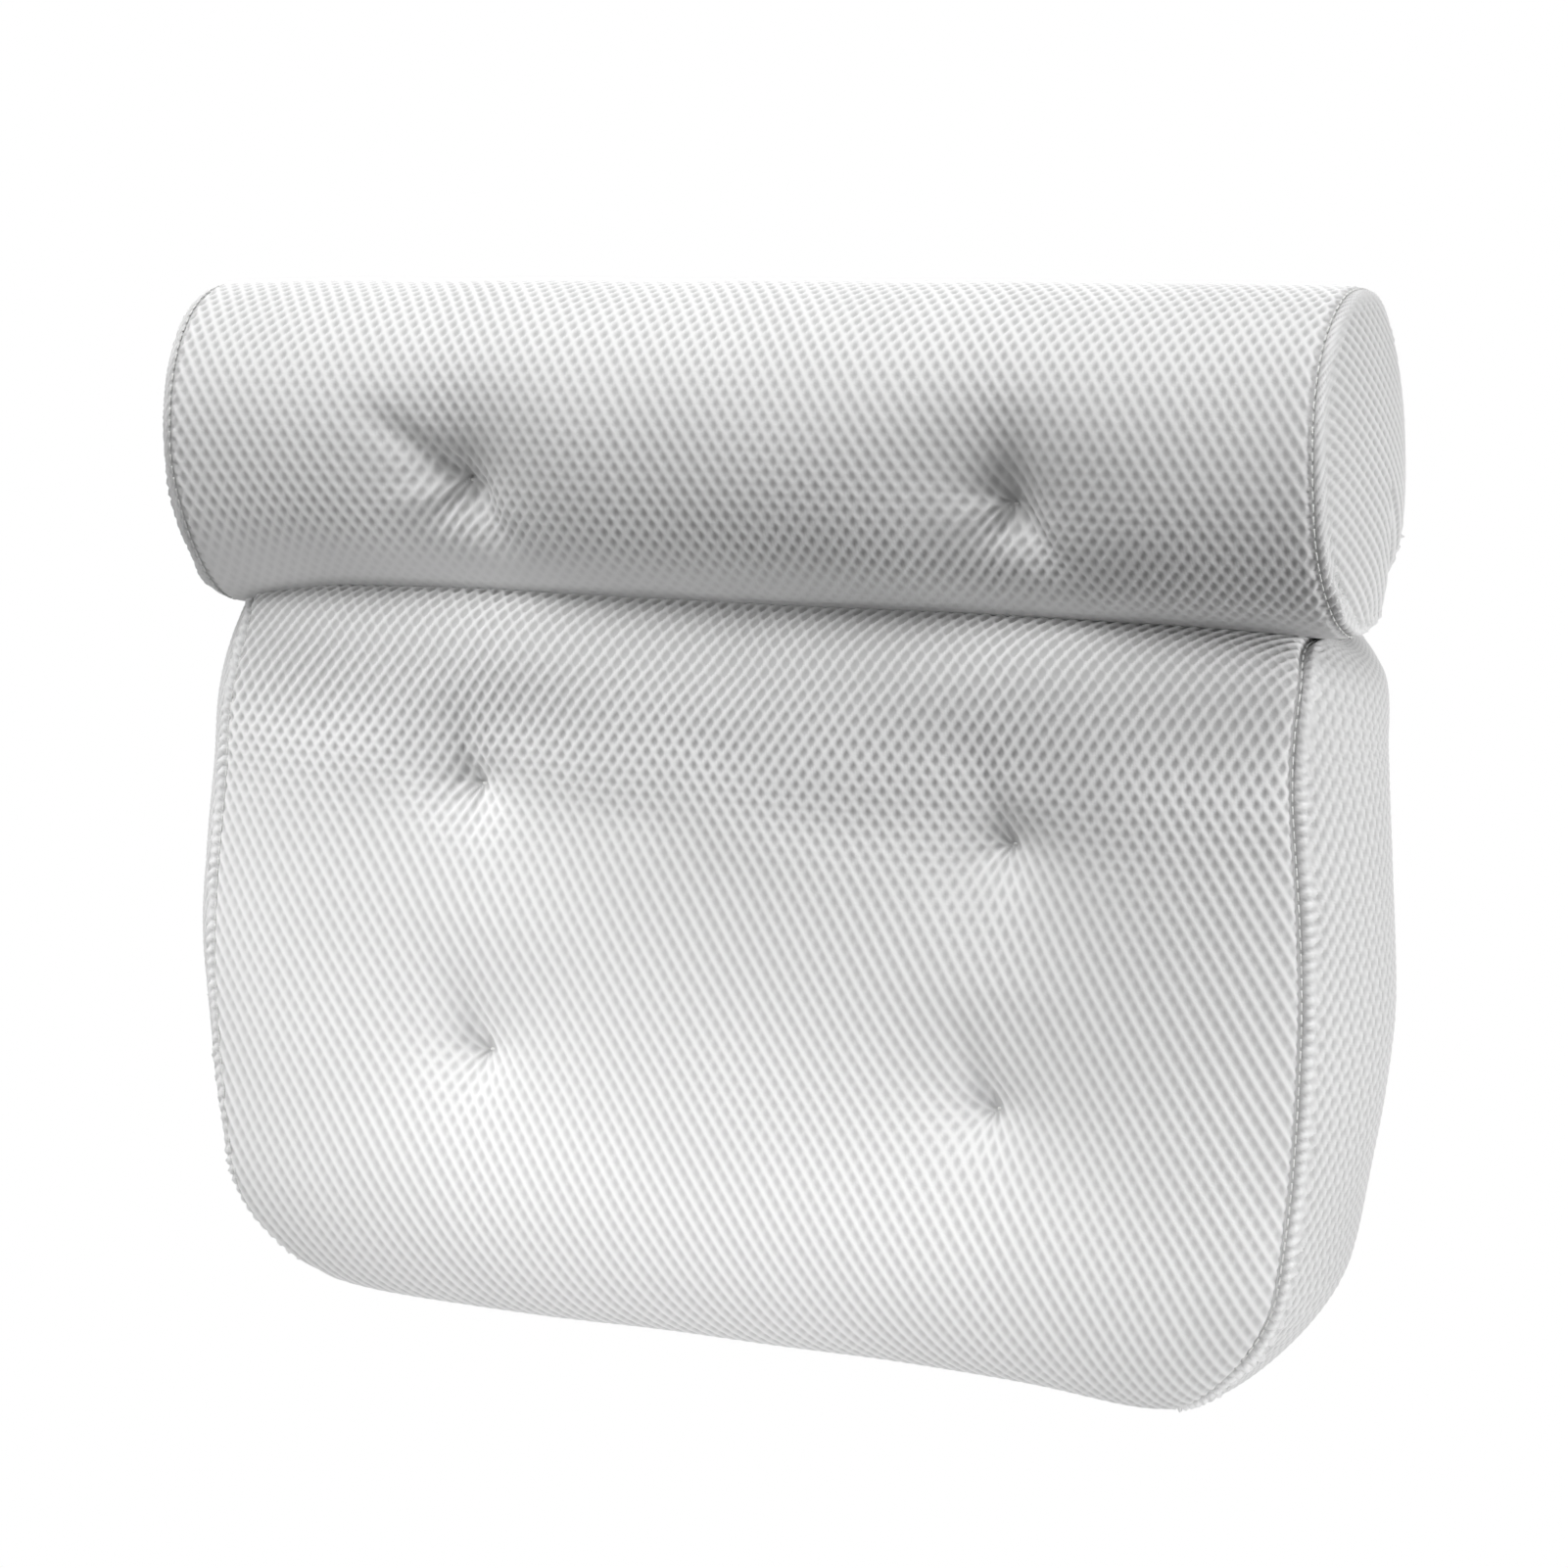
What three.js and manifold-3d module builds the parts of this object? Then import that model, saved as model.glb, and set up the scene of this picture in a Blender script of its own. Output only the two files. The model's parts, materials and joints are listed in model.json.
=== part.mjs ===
// Bath pillow with a round head bolster hinged to a boxed back cushion, held to a tub by suction cups.
// Millimetres, +z up. The plane y = 0 is the tub wall that the cup rims press on, and the front faces -y.
// The origin is the middle of the four lower suction cups.
import * as THREE from 'three';
import { mergeVertices } from 'three/addons/utils/BufferGeometryUtils.js';
import Module from 'manifold-3d';

// Fits and stock
const clearance = 0.3;
const sharpestMitre = 1.5;
const meshThickness = 3;
const cutOverrun = 5;

// Tufts, shared by the covers, the threads and the cups
const tuftHalfSpacing = 84;
const lowerTuftRise = 81;
const bolsterTuftDrop = 9;
const tuftFlatHalfWidth = 4.5;
const tuftFlatHalfHeight = 3.5;
const tuftReach = 17;

// Back cushion, seam to seam
const cushionHalfWidth = 172;
const cushionDepth = 80;
const cushionAboveTuft = 57.5;
const cushionBelowTuft = 86.5;
const cushionCornerRadius = 40;
const cushionTopTaper = 6;
const cushionBottomTaper = 12;
const frontCrown = 9;
const backCrown = 3.5;
const frontTuftDepth = 12;
const gussetBulge = 17;
const gussetLowShare = 0.5;
const bottomBulge = 7;
const bottomArch = 2.7;

// Head bolster
const bolsterHeight = 97;
const bolsterHalfLength = 178;
const bolsterOverhang = 14;
const bolsterFrontBow = 3.5;
const bolsterHingeTuck = 9;
const bolsterTuftDepth = 15;
const bolsterBackCrown = 1.5;
const endBulge = 8;

// Fabric hinge between the two sections
const hingeSetback = 6;
const hingeBandRadius = 1.6;
const hingeBandGap = 0.9;

// Suction cups and their eyes
const cupRadius = 25;
const cupRimWidth = 2.5;
const cupCrownWall = 4.5;
const cupDomeHeight = 13.5;
const eyeRadius = 4.3;
const eyeHalfWidth = 2.4;
const eyeHoleRadius = 1.7;
const eyeRoot = 2;

// Tuft threads
const threadRadius = 0.6;
const threadHoleRadius = 1.15;
const threadCornerRadius = 1.2;

// Facet counts
const cupSides = 20;
const holeSides = 6;
const threadSides = 6;
const bandSides = 12;
const beltSteps = 4;
const domeSteps = 3;
const underRows = 6;
const upperRows = 8;
const threadCornerSteps = 3;

// Places worked out from the sizes above
const eyeAxisY = -(cupDomeHeight + eyeRadius);
const backY = eyeAxisY - eyeRadius - clearance;
const frontY = backY - cushionDepth;
const rowZ = [lowerTuftRise / 2, -lowerTuftRise / 2];
const hingeY = backY - hingeSetback;
const hingeZ = rowZ[0] + cushionAboveTuft;
const cushionSeamBottom = rowZ[1] - cushionBelowTuft;
const cornerStep = (hingeBandRadius + hingeBandGap) * Math.SQRT1_2;
const bolsterFrontY = frontY - bolsterOverhang;
const bolsterRadiusY = (backY - bolsterFrontY) / 2;
const bolsterRadiusZ = bolsterHeight / 2;
const bolsterY = (backY + bolsterFrontY) / 2;

// Section of the bolster: a rounded square at the hinge corner, round everywhere else
const hingeCornerShare = (hingeY - cornerStep - bolsterY) / bolsterRadiusY;
const hingeCornerPower = 5.4;
const backTopPower = 2.8;
const frontPower = 2.1;
const cornerHeightShare = (1 - hingeCornerShare ** hingeCornerPower) ** (1 / hingeCornerPower);
const bolsterZ = hingeZ + cornerStep + bolsterRadiusZ * cornerHeightShare;
const bolsterTuftZ = bolsterZ - bolsterTuftDrop;
const backTopSeamAngle = 0.77 * Math.PI;
const hingeTuckAngle = 0.45;

// The two strands of a tuft thread pass either side of the cup's eye
const strandOffset = eyeHalfWidth + clearance + threadRadius;

const wasm = await Module();
wasm.setup();

const materials = {
  mesh: new THREE.MeshStandardMaterial({ color: 0xf1f1f0, roughness: 0.9, metalness: 0 }),
  fill: new THREE.MeshStandardMaterial({ color: 0xf8f8f5, roughness: 1, metalness: 0 }),
  thread: new THREE.MeshStandardMaterial({ color: 0xf4f4f4, roughness: 0.7, metalness: 0 }),
  cup: new THREE.MeshStandardMaterial({ color: 0xe4e9ea, roughness: 0.25, metalness: 0 }),
};

// Turns points and triangles into a geometry with shared vertices
function solidGeometry(points, triangles) {
  const geometry = new THREE.BufferGeometry();
  const flat = points.flatMap((p) => [p.x, p.y, p.z]);
  geometry.setAttribute('position', new THREE.Float32BufferAttribute(flat, 3));
  geometry.setIndex(triangles.flat());
  return geometry;
}

// Manifold solids for the cuts and joins
function toManifold(geometry) {
  const bare = geometry.clone();
  bare.deleteAttribute('normal');
  bare.deleteAttribute('uv');
  const merged = mergeVertices(bare);
  const mesh = new wasm.Mesh({
    numProp: 3,
    vertProperties: new Float32Array(merged.attributes.position.array),
    triVerts: new Uint32Array(merged.index.array),
  });
  return new wasm.Manifold(mesh);
}

function fromManifold(solid) {
  const mesh = solid.getMesh();
  const geometry = new THREE.BufferGeometry();
  geometry.setAttribute('position', new THREE.BufferAttribute(mesh.vertProperties, 3));
  geometry.setIndex(new THREE.BufferAttribute(mesh.triVerts, 1));
  return geometry;
}

// One closed skin from grid patches that share their edges, with a normal and a mitre at each vertex
function makeSkin(patches) {
  const points = [];
  const known = new Map();
  const idOf = (p) => {
    const key = [p.x, p.y, p.z].map((value) => Math.round(value * 1e4)).join(' ');
    if (!known.has(key)) {
      known.set(key, points.length);
      points.push(p);
    }
    return known.get(key);
  };
  const faces = {};
  for (const [name, grid] of Object.entries(patches)) {
    const ids = grid.map((row) => row.map(idOf));
    faces[name] = [];
    for (let i = 0; i + 1 < ids.length; i += 1) {
      for (let j = 0; j + 1 < ids[i].length; j += 1) {
        const quad = [ids[i][j], ids[i + 1][j], ids[i + 1][j + 1], ids[i][j + 1]];
        const halves = [[quad[0], quad[1], quad[2]], [quad[0], quad[2], quad[3]]];
        faces[name].push(...halves.filter((f) => new Set(f).size === f.length));
      }
    }
  }
  const all = Object.values(faces).flat();
  const normals = points.map(() => new THREE.Vector3());
  const faceNormals = all.map((f) => {
    const [a, b, c] = f.map((id) => points[id]);
    return b.clone().sub(a).cross(c.clone().sub(a));
  });
  all.forEach((f, i) => f.forEach((id) => normals[id].add(faceNormals[i])));
  normals.forEach((n) => n.normalize());
  const mitres = points.map(() => 1);
  all.forEach((f, i) => f.forEach((id) => {
    const cosine = faceNormals[i].clone().normalize().dot(normals[id]);
    mitres[id] = Math.min(sharpestMitre, Math.max(mitres[id], 1 / Math.max(cosine, 1 / sharpestMitre)));
  }));
  const inside = (id, depth) => points[id].clone().addScaledVector(normals[id], -depth * mitres[id]);
  return { points, faces, all, inside };
}

// A panel of the skin as a sheet of fabric, its cut edges drawn back so that neighbours keep their gap
function panelGeometry(skin, name) {
  const faces = skin.faces[name];
  const edges = faces.flatMap((f) => f.map((id, k) => ({ a: id, b: f[(k + 1) % 3], face: f })));
  const directed = new Set(edges.map(({ a, b }) => `${a} ${b}`));
  const rim = edges.filter(({ a, b }) => !directed.has(`${b} ${a}`));
  const used = [...new Set(faces.flat())];
  const place = new Map(used.map((id, i) => [id, i]));
  const shift = new Map();
  for (const { a, b, face } of rim) {
    const [p, q, r] = face.map((id) => skin.points[id]);
    const across = q.clone().sub(p).cross(r.clone().sub(p)).normalize();
    across.cross(skin.points[b].clone().sub(skin.points[a]).normalize());
    for (const id of [a, b]) shift.set(id, (shift.get(id) ?? new THREE.Vector3()).add(across));
  }
  shift.forEach((s) => s.multiplyScalar(clearance / s.lengthSq()));
  const moved = (id, depth) => {
    const p = skin.inside(id, depth);
    return shift.has(id) ? p.add(shift.get(id)) : p;
  };
  const points = [...used.map((id) => moved(id, 0)), ...used.map((id) => moved(id, meshThickness))];
  const out = (id) => place.get(id);
  const inn = (id) => place.get(id) + used.length;
  const triangles = [
    ...faces.map((f) => f.map(out)),
    ...faces.map(([a, b, c]) => [inn(c), inn(b), inn(a)]),
    ...rim.flatMap(({ a, b }) => (a < b
      ? [[out(b), out(a), inn(a)], [out(b), inn(a), inn(b)]]
      : [[out(b), out(a), inn(b)], [out(a), inn(a), inn(b)]])),
  ];
  return solidGeometry(points, triangles);
}

// The stuffing that fills a cover
function fillGeometry(skin) {
  const points = skin.points.map((p, id) => skin.inside(id, meshThickness + clearance));
  return solidGeometry(points, skin.all);
}

const lerp = THREE.MathUtils.lerp;
const smooth = THREE.MathUtils.smoothstep;

// How far a tuft draws the fabric in, at a distance across and along from its middle
function tuftPull(across, along, depth) {
  const flat = Math.hypot(tuftFlatHalfWidth, tuftFlatHalfHeight);
  const out = Math.max(0, Math.hypot(across, along) - flat);
  return depth * Math.exp(-out / tuftReach) * (1 - smooth(out, tuftReach, tuftReach * 3));
}

// Columns across both sections: round the tufts, drawn in only where a seam comes closer than they
// reach, and spread from there to the seam
function columnsTo(seamX) {
  const widestShare = 0.9;
  const spreadShares = [0.56, 0.89, 1];
  const reach = tuftHalfSpacing + tuftReach;
  const outermost = Math.min(reach, widestShare * seamX);
  const steps = [-tuftReach, -tuftFlatHalfWidth, tuftFlatHalfWidth, tuftReach];
  const half = [
    ...steps.map((step) => (tuftHalfSpacing + step) * (outermost / reach)),
    ...spreadShares.map((share) => lerp(outermost, seamX, share)),
  ];
  return [...half.map((x) => -x).reverse(), 0, ...half];
}

// Rows of the cushion from the hinge corner over the shoulder, down the front and under the bottom.
// Each has its place on the front seam, its place on the back seam and its share of the crowns.
function cushionRows() {
  const cornerY = hingeY - cornerStep;
  const cornerZ = hingeZ - cornerStep;
  const shoulder = rowZ[0] + tuftReach;
  const reachY = cornerY - frontY;
  const dropZ = cornerZ - shoulder;
  const backReach = backY - cornerY;
  const topShares = [
    { front: [0, 0], back: [0, 0], crown: 0 },
    { front: [0.26, 0.055], back: [0.66, 0.2], crown: 0 },
    { front: [0.53, 0.06], back: [0.88, 0.4], crown: 0 },
    { front: [0.77, 0.11], back: [0.97, 0.6], crown: 0.2 },
    { front: [0.94, 0.38], back: [1, 0.8], crown: 0.7 },
  ];
  const top = topShares.map(({ front, back, crown }) => ({
    front: [cornerY - front[0] * reachY, cornerZ - front[1] * dropZ],
    back: [cornerY + back[0] * backReach, cornerZ - back[1] * dropZ],
    crown,
  }));
  const steps = [tuftReach, tuftFlatHalfHeight, -tuftFlatHalfHeight, -tuftReach];
  const heights = rowZ.flatMap((z) => steps.map((step) => z + step));
  const middle = heights.map((z) => ({ front: [frontY, z], back: [backY, z], crown: 1 }));
  const lowest = rowZ[1] - tuftReach;
  const underZ = lowest - cushionSeamBottom;
  const bottomShares = [
    { front: [0, 0.42], back: [0, 0.42], crown: 1 },
    { front: [0.06, 0.72], back: [0.02, 0.7], crown: 0.9 },
    { front: [0.17, 0.92], back: [0.06, 0.88], crown: 0.6 },
    { front: [0.34, 1], back: [0.16, 0.98], crown: 0 },
  ];
  const bottom = bottomShares.map(({ front, back, crown }) => ({
    front: [frontY + front[0] * cushionDepth, lowest - front[1] * underZ],
    back: [backY - back[0] * cushionDepth, lowest - back[1] * underZ],
    crown,
  }));
  return [...top, ...middle, ...bottom];
}

// Half width of the cushion at a height: widest at the middle, narrower to the hinge and the rounded corners
function cushionHalf(z) {
  const above = Math.min(cushionCornerRadius, Math.max(0, z - cushionSeamBottom));
  const rise = cushionCornerRadius - above;
  const corner = cushionCornerRadius - Math.sqrt(cushionCornerRadius ** 2 - rise ** 2);
  const middle = (hingeZ + cushionSeamBottom) / 2;
  const below = Math.max(0, middle - z) / (middle - cushionSeamBottom);
  const taper = cushionTopTaper * smooth(z, middle, rowZ[0] + 2 * tuftReach) + cushionBottomTaper * below ** 2;
  return cushionHalfWidth - corner - taper;
}

// A grid on one face of the cushion, crowned between its edges and drawn in at the tufts
function cushionFace(side) {
  const rows = cushionRows();
  const seams = rows.map((row) => row[side]);
  const facing = side === 'front' ? 1 : -1;
  const crownHeight = side === 'front' ? frontCrown : backCrown;
  const pullDepth = side === 'front' ? frontTuftDepth : backCrown;
  return rows.map((row, i) => {
    const before = seams[Math.max(0, i - 1)];
    const after = seams[Math.min(seams.length - 1, i + 1)];
    const along = new THREE.Vector2(after[0] - before[0], after[1] - before[1]).normalize();
    const outward = new THREE.Vector2(along.y * facing, -along.x * facing);
    const [y, z] = seams[i];
    const half = cushionHalf(z);
    return columnsTo(half).map((x) => {
      const share = x / half;
      const crown = crownHeight * row.crown * (1 - Math.abs(share) ** 4) ** 0.6;
      const pulls = rowZ.map((tuftZ) => tuftPull(Math.abs(x) - tuftHalfSpacing, z - tuftZ, pullDepth));
      const lift = crown - row.crown * Math.max(...pulls);
      const low = smooth(-z, -rowZ[1], -cushionSeamBottom);
      const arch = bottomArch * low * (1 + Math.cos(Math.PI * share)) / 2;
      return new THREE.Vector3(x, y + outward.x * lift, z + outward.y * lift + arch);
    });
  });
}

// The gusset belt: down one side, along the bottom and up the other, bulging between its two seams
function cushionBelt(front, back) {
  const rim = (grid) => [
    ...grid.map((row) => row[0]),
    ...grid[grid.length - 1].slice(1, -1),
    ...grid.map((row) => row[row.length - 1]).reverse(),
  ];
  const frontRim = rim(front);
  const backRim = rim(back);
  return frontRim.map((start, i) => {
    const end = backRim[i];
    const before = frontRim[Math.max(0, i - 1)];
    const after = frontRim[Math.min(frontRim.length - 1, i + 1)];
    const outward = new THREE.Vector3(after.z - before.z, 0, before.x - after.x).normalize();
    if (start.z > rowZ[0]) outward.set(Math.sign(start.x), 0, 0);
    const sideBulge = gussetBulge * lerp(1, gussetLowShare, smooth(-start.z, 0, -cushionSeamBottom));
    const height = lerp(sideBulge, bottomBulge, Math.abs(outward.z));
    const width = start.distanceTo(end) / cushionDepth;
    return Array.from({ length: beltSteps + 1 }, (unused, k) => {
      const share = k / beltSteps;
      const bulge = height * Math.min(1, width) * 4 * share * (1 - share);
      return start.clone().lerp(end, share).addScaledVector(outward, bulge);
    });
  });
}

function cushionSkin() {
  const front = cushionFace('front');
  const back = cushionFace('back');
  const belt = cushionBelt(front, back);
  return makeSkin({
    front,
    back: back.map((row) => [...row].reverse()),
    gusset: belt.map((row) => [...row].reverse()),
  });
}

// Point of the bolster's section at an angle from the front, turning over the top to the back
function bolsterSection(angle) {
  const c = -Math.cos(angle);
  const s = Math.sin(angle);
  let power = frontPower;
  if (c > 0) power = s < 0 ? hingeCornerPower : backTopPower;
  const along = (value) => Math.sign(value) * Math.abs(value) ** (2 / power);
  return [bolsterY + bolsterRadiusY * along(c), bolsterZ + bolsterRadiusZ * along(s)];
}

// Angle at which the section reaches the hinge corner, just below the back
function hingeCornerAngle() {
  const c = hingeCornerShare ** (hingeCornerPower / 2);
  return -Math.PI + Math.acos(c);
}

// Half length of the bolster round its section: bowed in at the front, tucked in at the hinge
function bolsterHalf(angle) {
  const bow = bolsterFrontBow * Math.max(0, Math.cos(angle)) ** 2;
  const turns = [angle, angle - 2 * Math.PI];
  const fromCorner = Math.min(...turns.map((turn) => Math.abs(turn - hingeCornerAngle())));
  const tuck = bolsterHingeTuck * Math.exp(-((fromCorner / hingeTuckAngle) ** 2));
  return bolsterHalfLength - bow - tuck;
}

// Bolster tufts fade out where the section turns away from the front and the back
const facingShares = [0.3, 0.8];

// The bolster's tuft rows lie level with the thread, front and back
function levelAngle(z, back) {
  const s = (z - bolsterZ) / bolsterRadiusZ;
  const backPower = s < 0 ? hingeCornerPower : backTopPower;
  const angle = Math.asin(Math.sign(s) * Math.abs(s) ** ((back ? backPower : frontPower) / 2));
  return back ? Math.PI - angle : angle;
}

function bolsterGrid(angles) {
  return angles.map((angle) => columnsTo(bolsterHalf(angle)).map((x) => {
    const [y, z] = bolsterSection(angle);
    const share = x / bolsterHalf(angle);
    const back = Math.cos(angle) < 0;
    const depth = back ? bolsterBackCrown : bolsterTuftDepth;
    const near = smooth(Math.abs(Math.cos(angle)), ...facingShares);
    const pull = near * tuftPull(Math.abs(x) - tuftHalfSpacing, z - bolsterTuftZ, depth);
    const crown = back ? bolsterBackCrown * near * (1 - Math.abs(share) ** 4) : 0;
    return new THREE.Vector3(x, y + (back ? crown - pull : pull), z);
  }));
}

// Angles of the rows: the front panel from the hinge corner to the back top seam, then the back panel
function bolsterAngles() {
  const corner = hingeCornerAngle();
  const level = (offset, back) => levelAngle(bolsterTuftZ + offset, back);
  const spread = (from, to, count) => {
    const steps = Array.from({ length: count }, (unused, i) => i / count);
    return steps.map((share) => lerp(from, to, share));
  };
  const front = [
    ...spread(corner, level(-tuftReach, false), underRows),
    ...[-tuftReach, -tuftFlatHalfHeight, tuftFlatHalfHeight].map((d) => level(d, false)),
    ...spread(level(tuftReach, false), backTopSeamAngle, upperRows),
    backTopSeamAngle,
  ];
  const wrapped = corner + 2 * Math.PI;
  const back = [
    backTopSeamAngle,
    lerp(backTopSeamAngle, level(tuftReach, true), 0.5),
    ...[tuftReach, tuftFlatHalfHeight, -tuftFlatHalfHeight, -tuftReach].map((d) => level(d, true)),
    wrapped,
  ];
  return { front, back };
}

// An end panel, swelling out from its seam to its middle
function bolsterEnd(ring, side) {
  const middle = new THREE.Vector3(0, bolsterY, bolsterZ);
  return Array.from({ length: domeSteps + 1 }, (unused, i) => {
    const angle = (i / domeSteps) * Math.PI / 2;
    const share = i === domeSteps ? 0 : Math.cos(angle);
    return ring.map((p) => {
      const seamX = Math.abs(p.x);
      const x = lerp(bolsterHalfLength, seamX, share) + endBulge * Math.sin(angle);
      return new THREE.Vector3(side * x, lerp(middle.y, p.y, share), lerp(middle.z, p.z, share));
    });
  });
}

function bolsterSkin() {
  const angles = bolsterAngles();
  const front = bolsterGrid(angles.front);
  const back = bolsterGrid(angles.back);
  back[back.length - 1] = front[0].map((p) => p.clone());
  const around = [...front, ...back.slice(1)];
  const left = around.map((row) => row[0]).reverse();
  const right = around.map((row) => row[row.length - 1]);
  return makeSkin({
    front: front.map((row) => [...row].reverse()),
    back: back.map((row) => [...row].reverse()),
    left: bolsterEnd(left, -1),
    right: bolsterEnd(right, 1),
  });
}

// Where the tufts of a section are, with the height of the fabric under the thread's front bar
function tuftsOf(skin, heights) {
  return heights.flatMap((z) => [-1, 1].map((side) => {
    const x = side * tuftHalfSpacing;
    const near = skin.points.filter((p) => p.y < bolsterY
      && Math.abs(Math.abs(p.x - x) - tuftFlatHalfWidth) < clearance
      && Math.abs(Math.abs(p.z - z) - tuftFlatHalfHeight) < clearance * 4);
    const fabricY = Math.min(...near.map((p) => p.y));
    return { x, z, fabricY, side: side < 0 ? 'left' : 'right' };
  }));
}

// The two pricked holes that a tuft thread runs through
function threadHoles(tufts) {
  const length = Math.abs(bolsterFrontY) + 2 * cutOverrun;
  return tufts.flatMap(({ x, z }) => [-1, 1].map((side) => {
    const hole = new THREE.CylinderGeometry(threadHoleRadius, threadHoleRadius, length, holeSides);
    hole.translate(x + side * strandOffset, cutOverrun - length / 2, z);
    return toManifold(hole);
  }));
}

function pierced(geometry, tufts) {
  const solid = threadHoles(tufts).reduce((body, hole) => body.subtract(hole), toManifold(geometry));
  return fromManifold(solid);
}

// A tuft thread: one closed loop over the fabric in front and through the eye of the cup behind
function threadGeometry({ x, z, fabricY }) {
  const near = fabricY - clearance - threadRadius;
  const r = threadCornerRadius;
  const corners = [
    [strandOffset - r, near + r, -Math.PI / 2],
    [strandOffset - r, eyeAxisY - r, 0],
    [r - strandOffset, eyeAxisY - r, Math.PI / 2],
    [r - strandOffset, near + r, Math.PI],
  ];
  const stations = [];
  for (const [cx, cy, start] of corners) {
    for (let i = 0; i <= threadCornerSteps; i += 1) {
      const angle = start + (i / threadCornerSteps) * Math.PI / 2;
      const out = new THREE.Vector3(Math.cos(angle), Math.sin(angle), 0);
      stations.push({ out, at: new THREE.Vector3(x + cx, cy, z).addScaledVector(out, r) });
    }
  }
  const up = new THREE.Vector3(0, 0, 1);
  const points = stations.flatMap(({ at, out }) => Array.from({ length: threadSides }, (unused, k) => {
    const angle = (k / threadSides) * 2 * Math.PI;
    const turned = out.clone().multiplyScalar(Math.cos(angle)).addScaledVector(up, Math.sin(angle));
    return at.clone().addScaledVector(turned, threadRadius);
  }));
  const triangles = [];
  for (let i = 0; i < stations.length; i += 1) {
    const here = i * threadSides;
    const next = ((i + 1) % stations.length) * threadSides;
    for (let k = 0; k < threadSides; k += 1) {
      const n = (k + 1) % threadSides;
      triangles.push([here + k, next + k, next + n], [here + k, next + n, here + n]);
    }
  }
  return solidGeometry(points, triangles);
}

// A suction cup with its flat rim on the wall plane and an eye for the thread behind the fabric
function cupGeometry(x, z) {
  const hollowDepth = cupDomeHeight - cupCrownWall;
  const rimInner = cupRadius - cupRimWidth;
  const outerShares = [[0.24, 1], [0.36, 0.94], [0.56, 0.7], [0.8, 0.38], [0.97, 0.13], [1, 0.07]];
  const innerShares = [[0.88, 0.3], [0.62, 0.66], [0.34, 0.9], [0, 1]];
  const profile = [
    new THREE.Vector2(0, cupDomeHeight),
    ...outerShares.map(([r, h]) => new THREE.Vector2(r * cupRadius, h * cupDomeHeight)),
    new THREE.Vector2(cupRadius, 0),
    new THREE.Vector2(rimInner, 0),
    ...innerShares.map(([r, h]) => new THREE.Vector2(r * rimInner, h * hollowDepth)),
  ];
  const dome = new THREE.LatheGeometry(profile.reverse(), cupSides);
  const stem = new THREE.BoxGeometry(2 * eyeHalfWidth, eyeRadius + eyeRoot, 2 * eyeRadius);
  stem.translate(0, cupDomeHeight - eyeRoot + (eyeRadius + eyeRoot) / 2, 0);
  const head = new THREE.CylinderGeometry(eyeRadius, eyeRadius, 2 * eyeHalfWidth, cupSides);
  const hole = new THREE.CylinderGeometry(eyeHoleRadius, eyeHoleRadius, 2 * cutOverrun, 2 * holeSides);
  for (const part of [head, hole]) {
    part.rotateZ(Math.PI / 2);
    part.translate(0, -eyeAxisY, 0);
  }
  const body = toManifold(dome).add(toManifold(stem)).add(toManifold(head)).subtract(toManifold(hole));
  const geometry = fromManifold(body);
  geometry.rotateZ(Math.PI);
  geometry.translate(x, 0, z);
  return geometry;
}

// The folded fabric band on the hinge line
function hingeBandGeometry() {
  const length = 2 * cushionHalf(hingeZ);
  const band = new THREE.CylinderGeometry(hingeBandRadius, hingeBandRadius, length, bandSides);
  band.rotateZ(Math.PI / 2);
  band.translate(0, hingeY, hingeZ);
  return band;
}

function named(name, geometry, material) {
  const mesh = new THREE.Mesh(geometry, material);
  mesh.name = name;
  return mesh;
}

function buildCushion() {
  const group = new THREE.Group();
  const skin = cushionSkin();
  const tufts = tuftsOf(skin, rowZ);
  const panel = (name) => panelGeometry(skin, name);
  group.add(named('cushion_front_panel', pierced(panel('front'), tufts), materials.mesh));
  group.add(named('cushion_back_panel', pierced(panel('back'), tufts), materials.mesh));
  group.add(named('cushion_gusset', panel('gusset'), materials.mesh));
  group.add(named('cushion_fill', pierced(fillGeometry(skin), tufts), materials.fill));
  group.add(named('hinge_band', hingeBandGeometry(), materials.mesh));
  tufts.forEach((tuft) => {
    const place = `${tuft.z > 0 ? 'upper' : 'lower'}_${tuft.side}`;
    group.add(named(`tuft_thread_${place}`, threadGeometry(tuft), materials.thread));
    group.add(named(`suction_cup_${place}`, cupGeometry(tuft.x, tuft.z), materials.cup));
  });
  return group;
}

function buildBolster() {
  const group = new THREE.Group();
  const skin = bolsterSkin();
  const tufts = tuftsOf(skin, [bolsterTuftZ]);
  const panel = (name) => panelGeometry(skin, name);
  group.add(named('bolster_front_panel', pierced(panel('front'), tufts), materials.mesh));
  group.add(named('bolster_back_panel', pierced(panel('back'), tufts), materials.mesh));
  group.add(named('bolster_end_panel_left', panel('left'), materials.mesh));
  group.add(named('bolster_end_panel_right', panel('right'), materials.mesh));
  group.add(named('bolster_fill', pierced(fillGeometry(skin), tufts), materials.fill));
  tufts.forEach((tuft) => {
    group.add(named(`tuft_thread_bolster_${tuft.side}`, threadGeometry(tuft), materials.thread));
    group.add(named(`suction_cup_bolster_${tuft.side}`, cupGeometry(tuft.x, tuft.z), materials.cup));
  });
  return group;
}

const bathPillow = new THREE.Group();
bathPillow.add(buildCushion(), buildBolster());

export default bathPillow;
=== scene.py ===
"""A white air-mesh bath pillow: a round bolster hinged above a tufted, boxed cushion.

Everything is measured in millimetres until a mesh is made. Each cover is a set of fabric panels. A panel
is a coarse grid that the cloth simulation fills out, then a fine grid that carries the diamond net.
"""

import json
import math

import bpy
import numpy as np
from mathutils import Matrix, Vector

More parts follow.
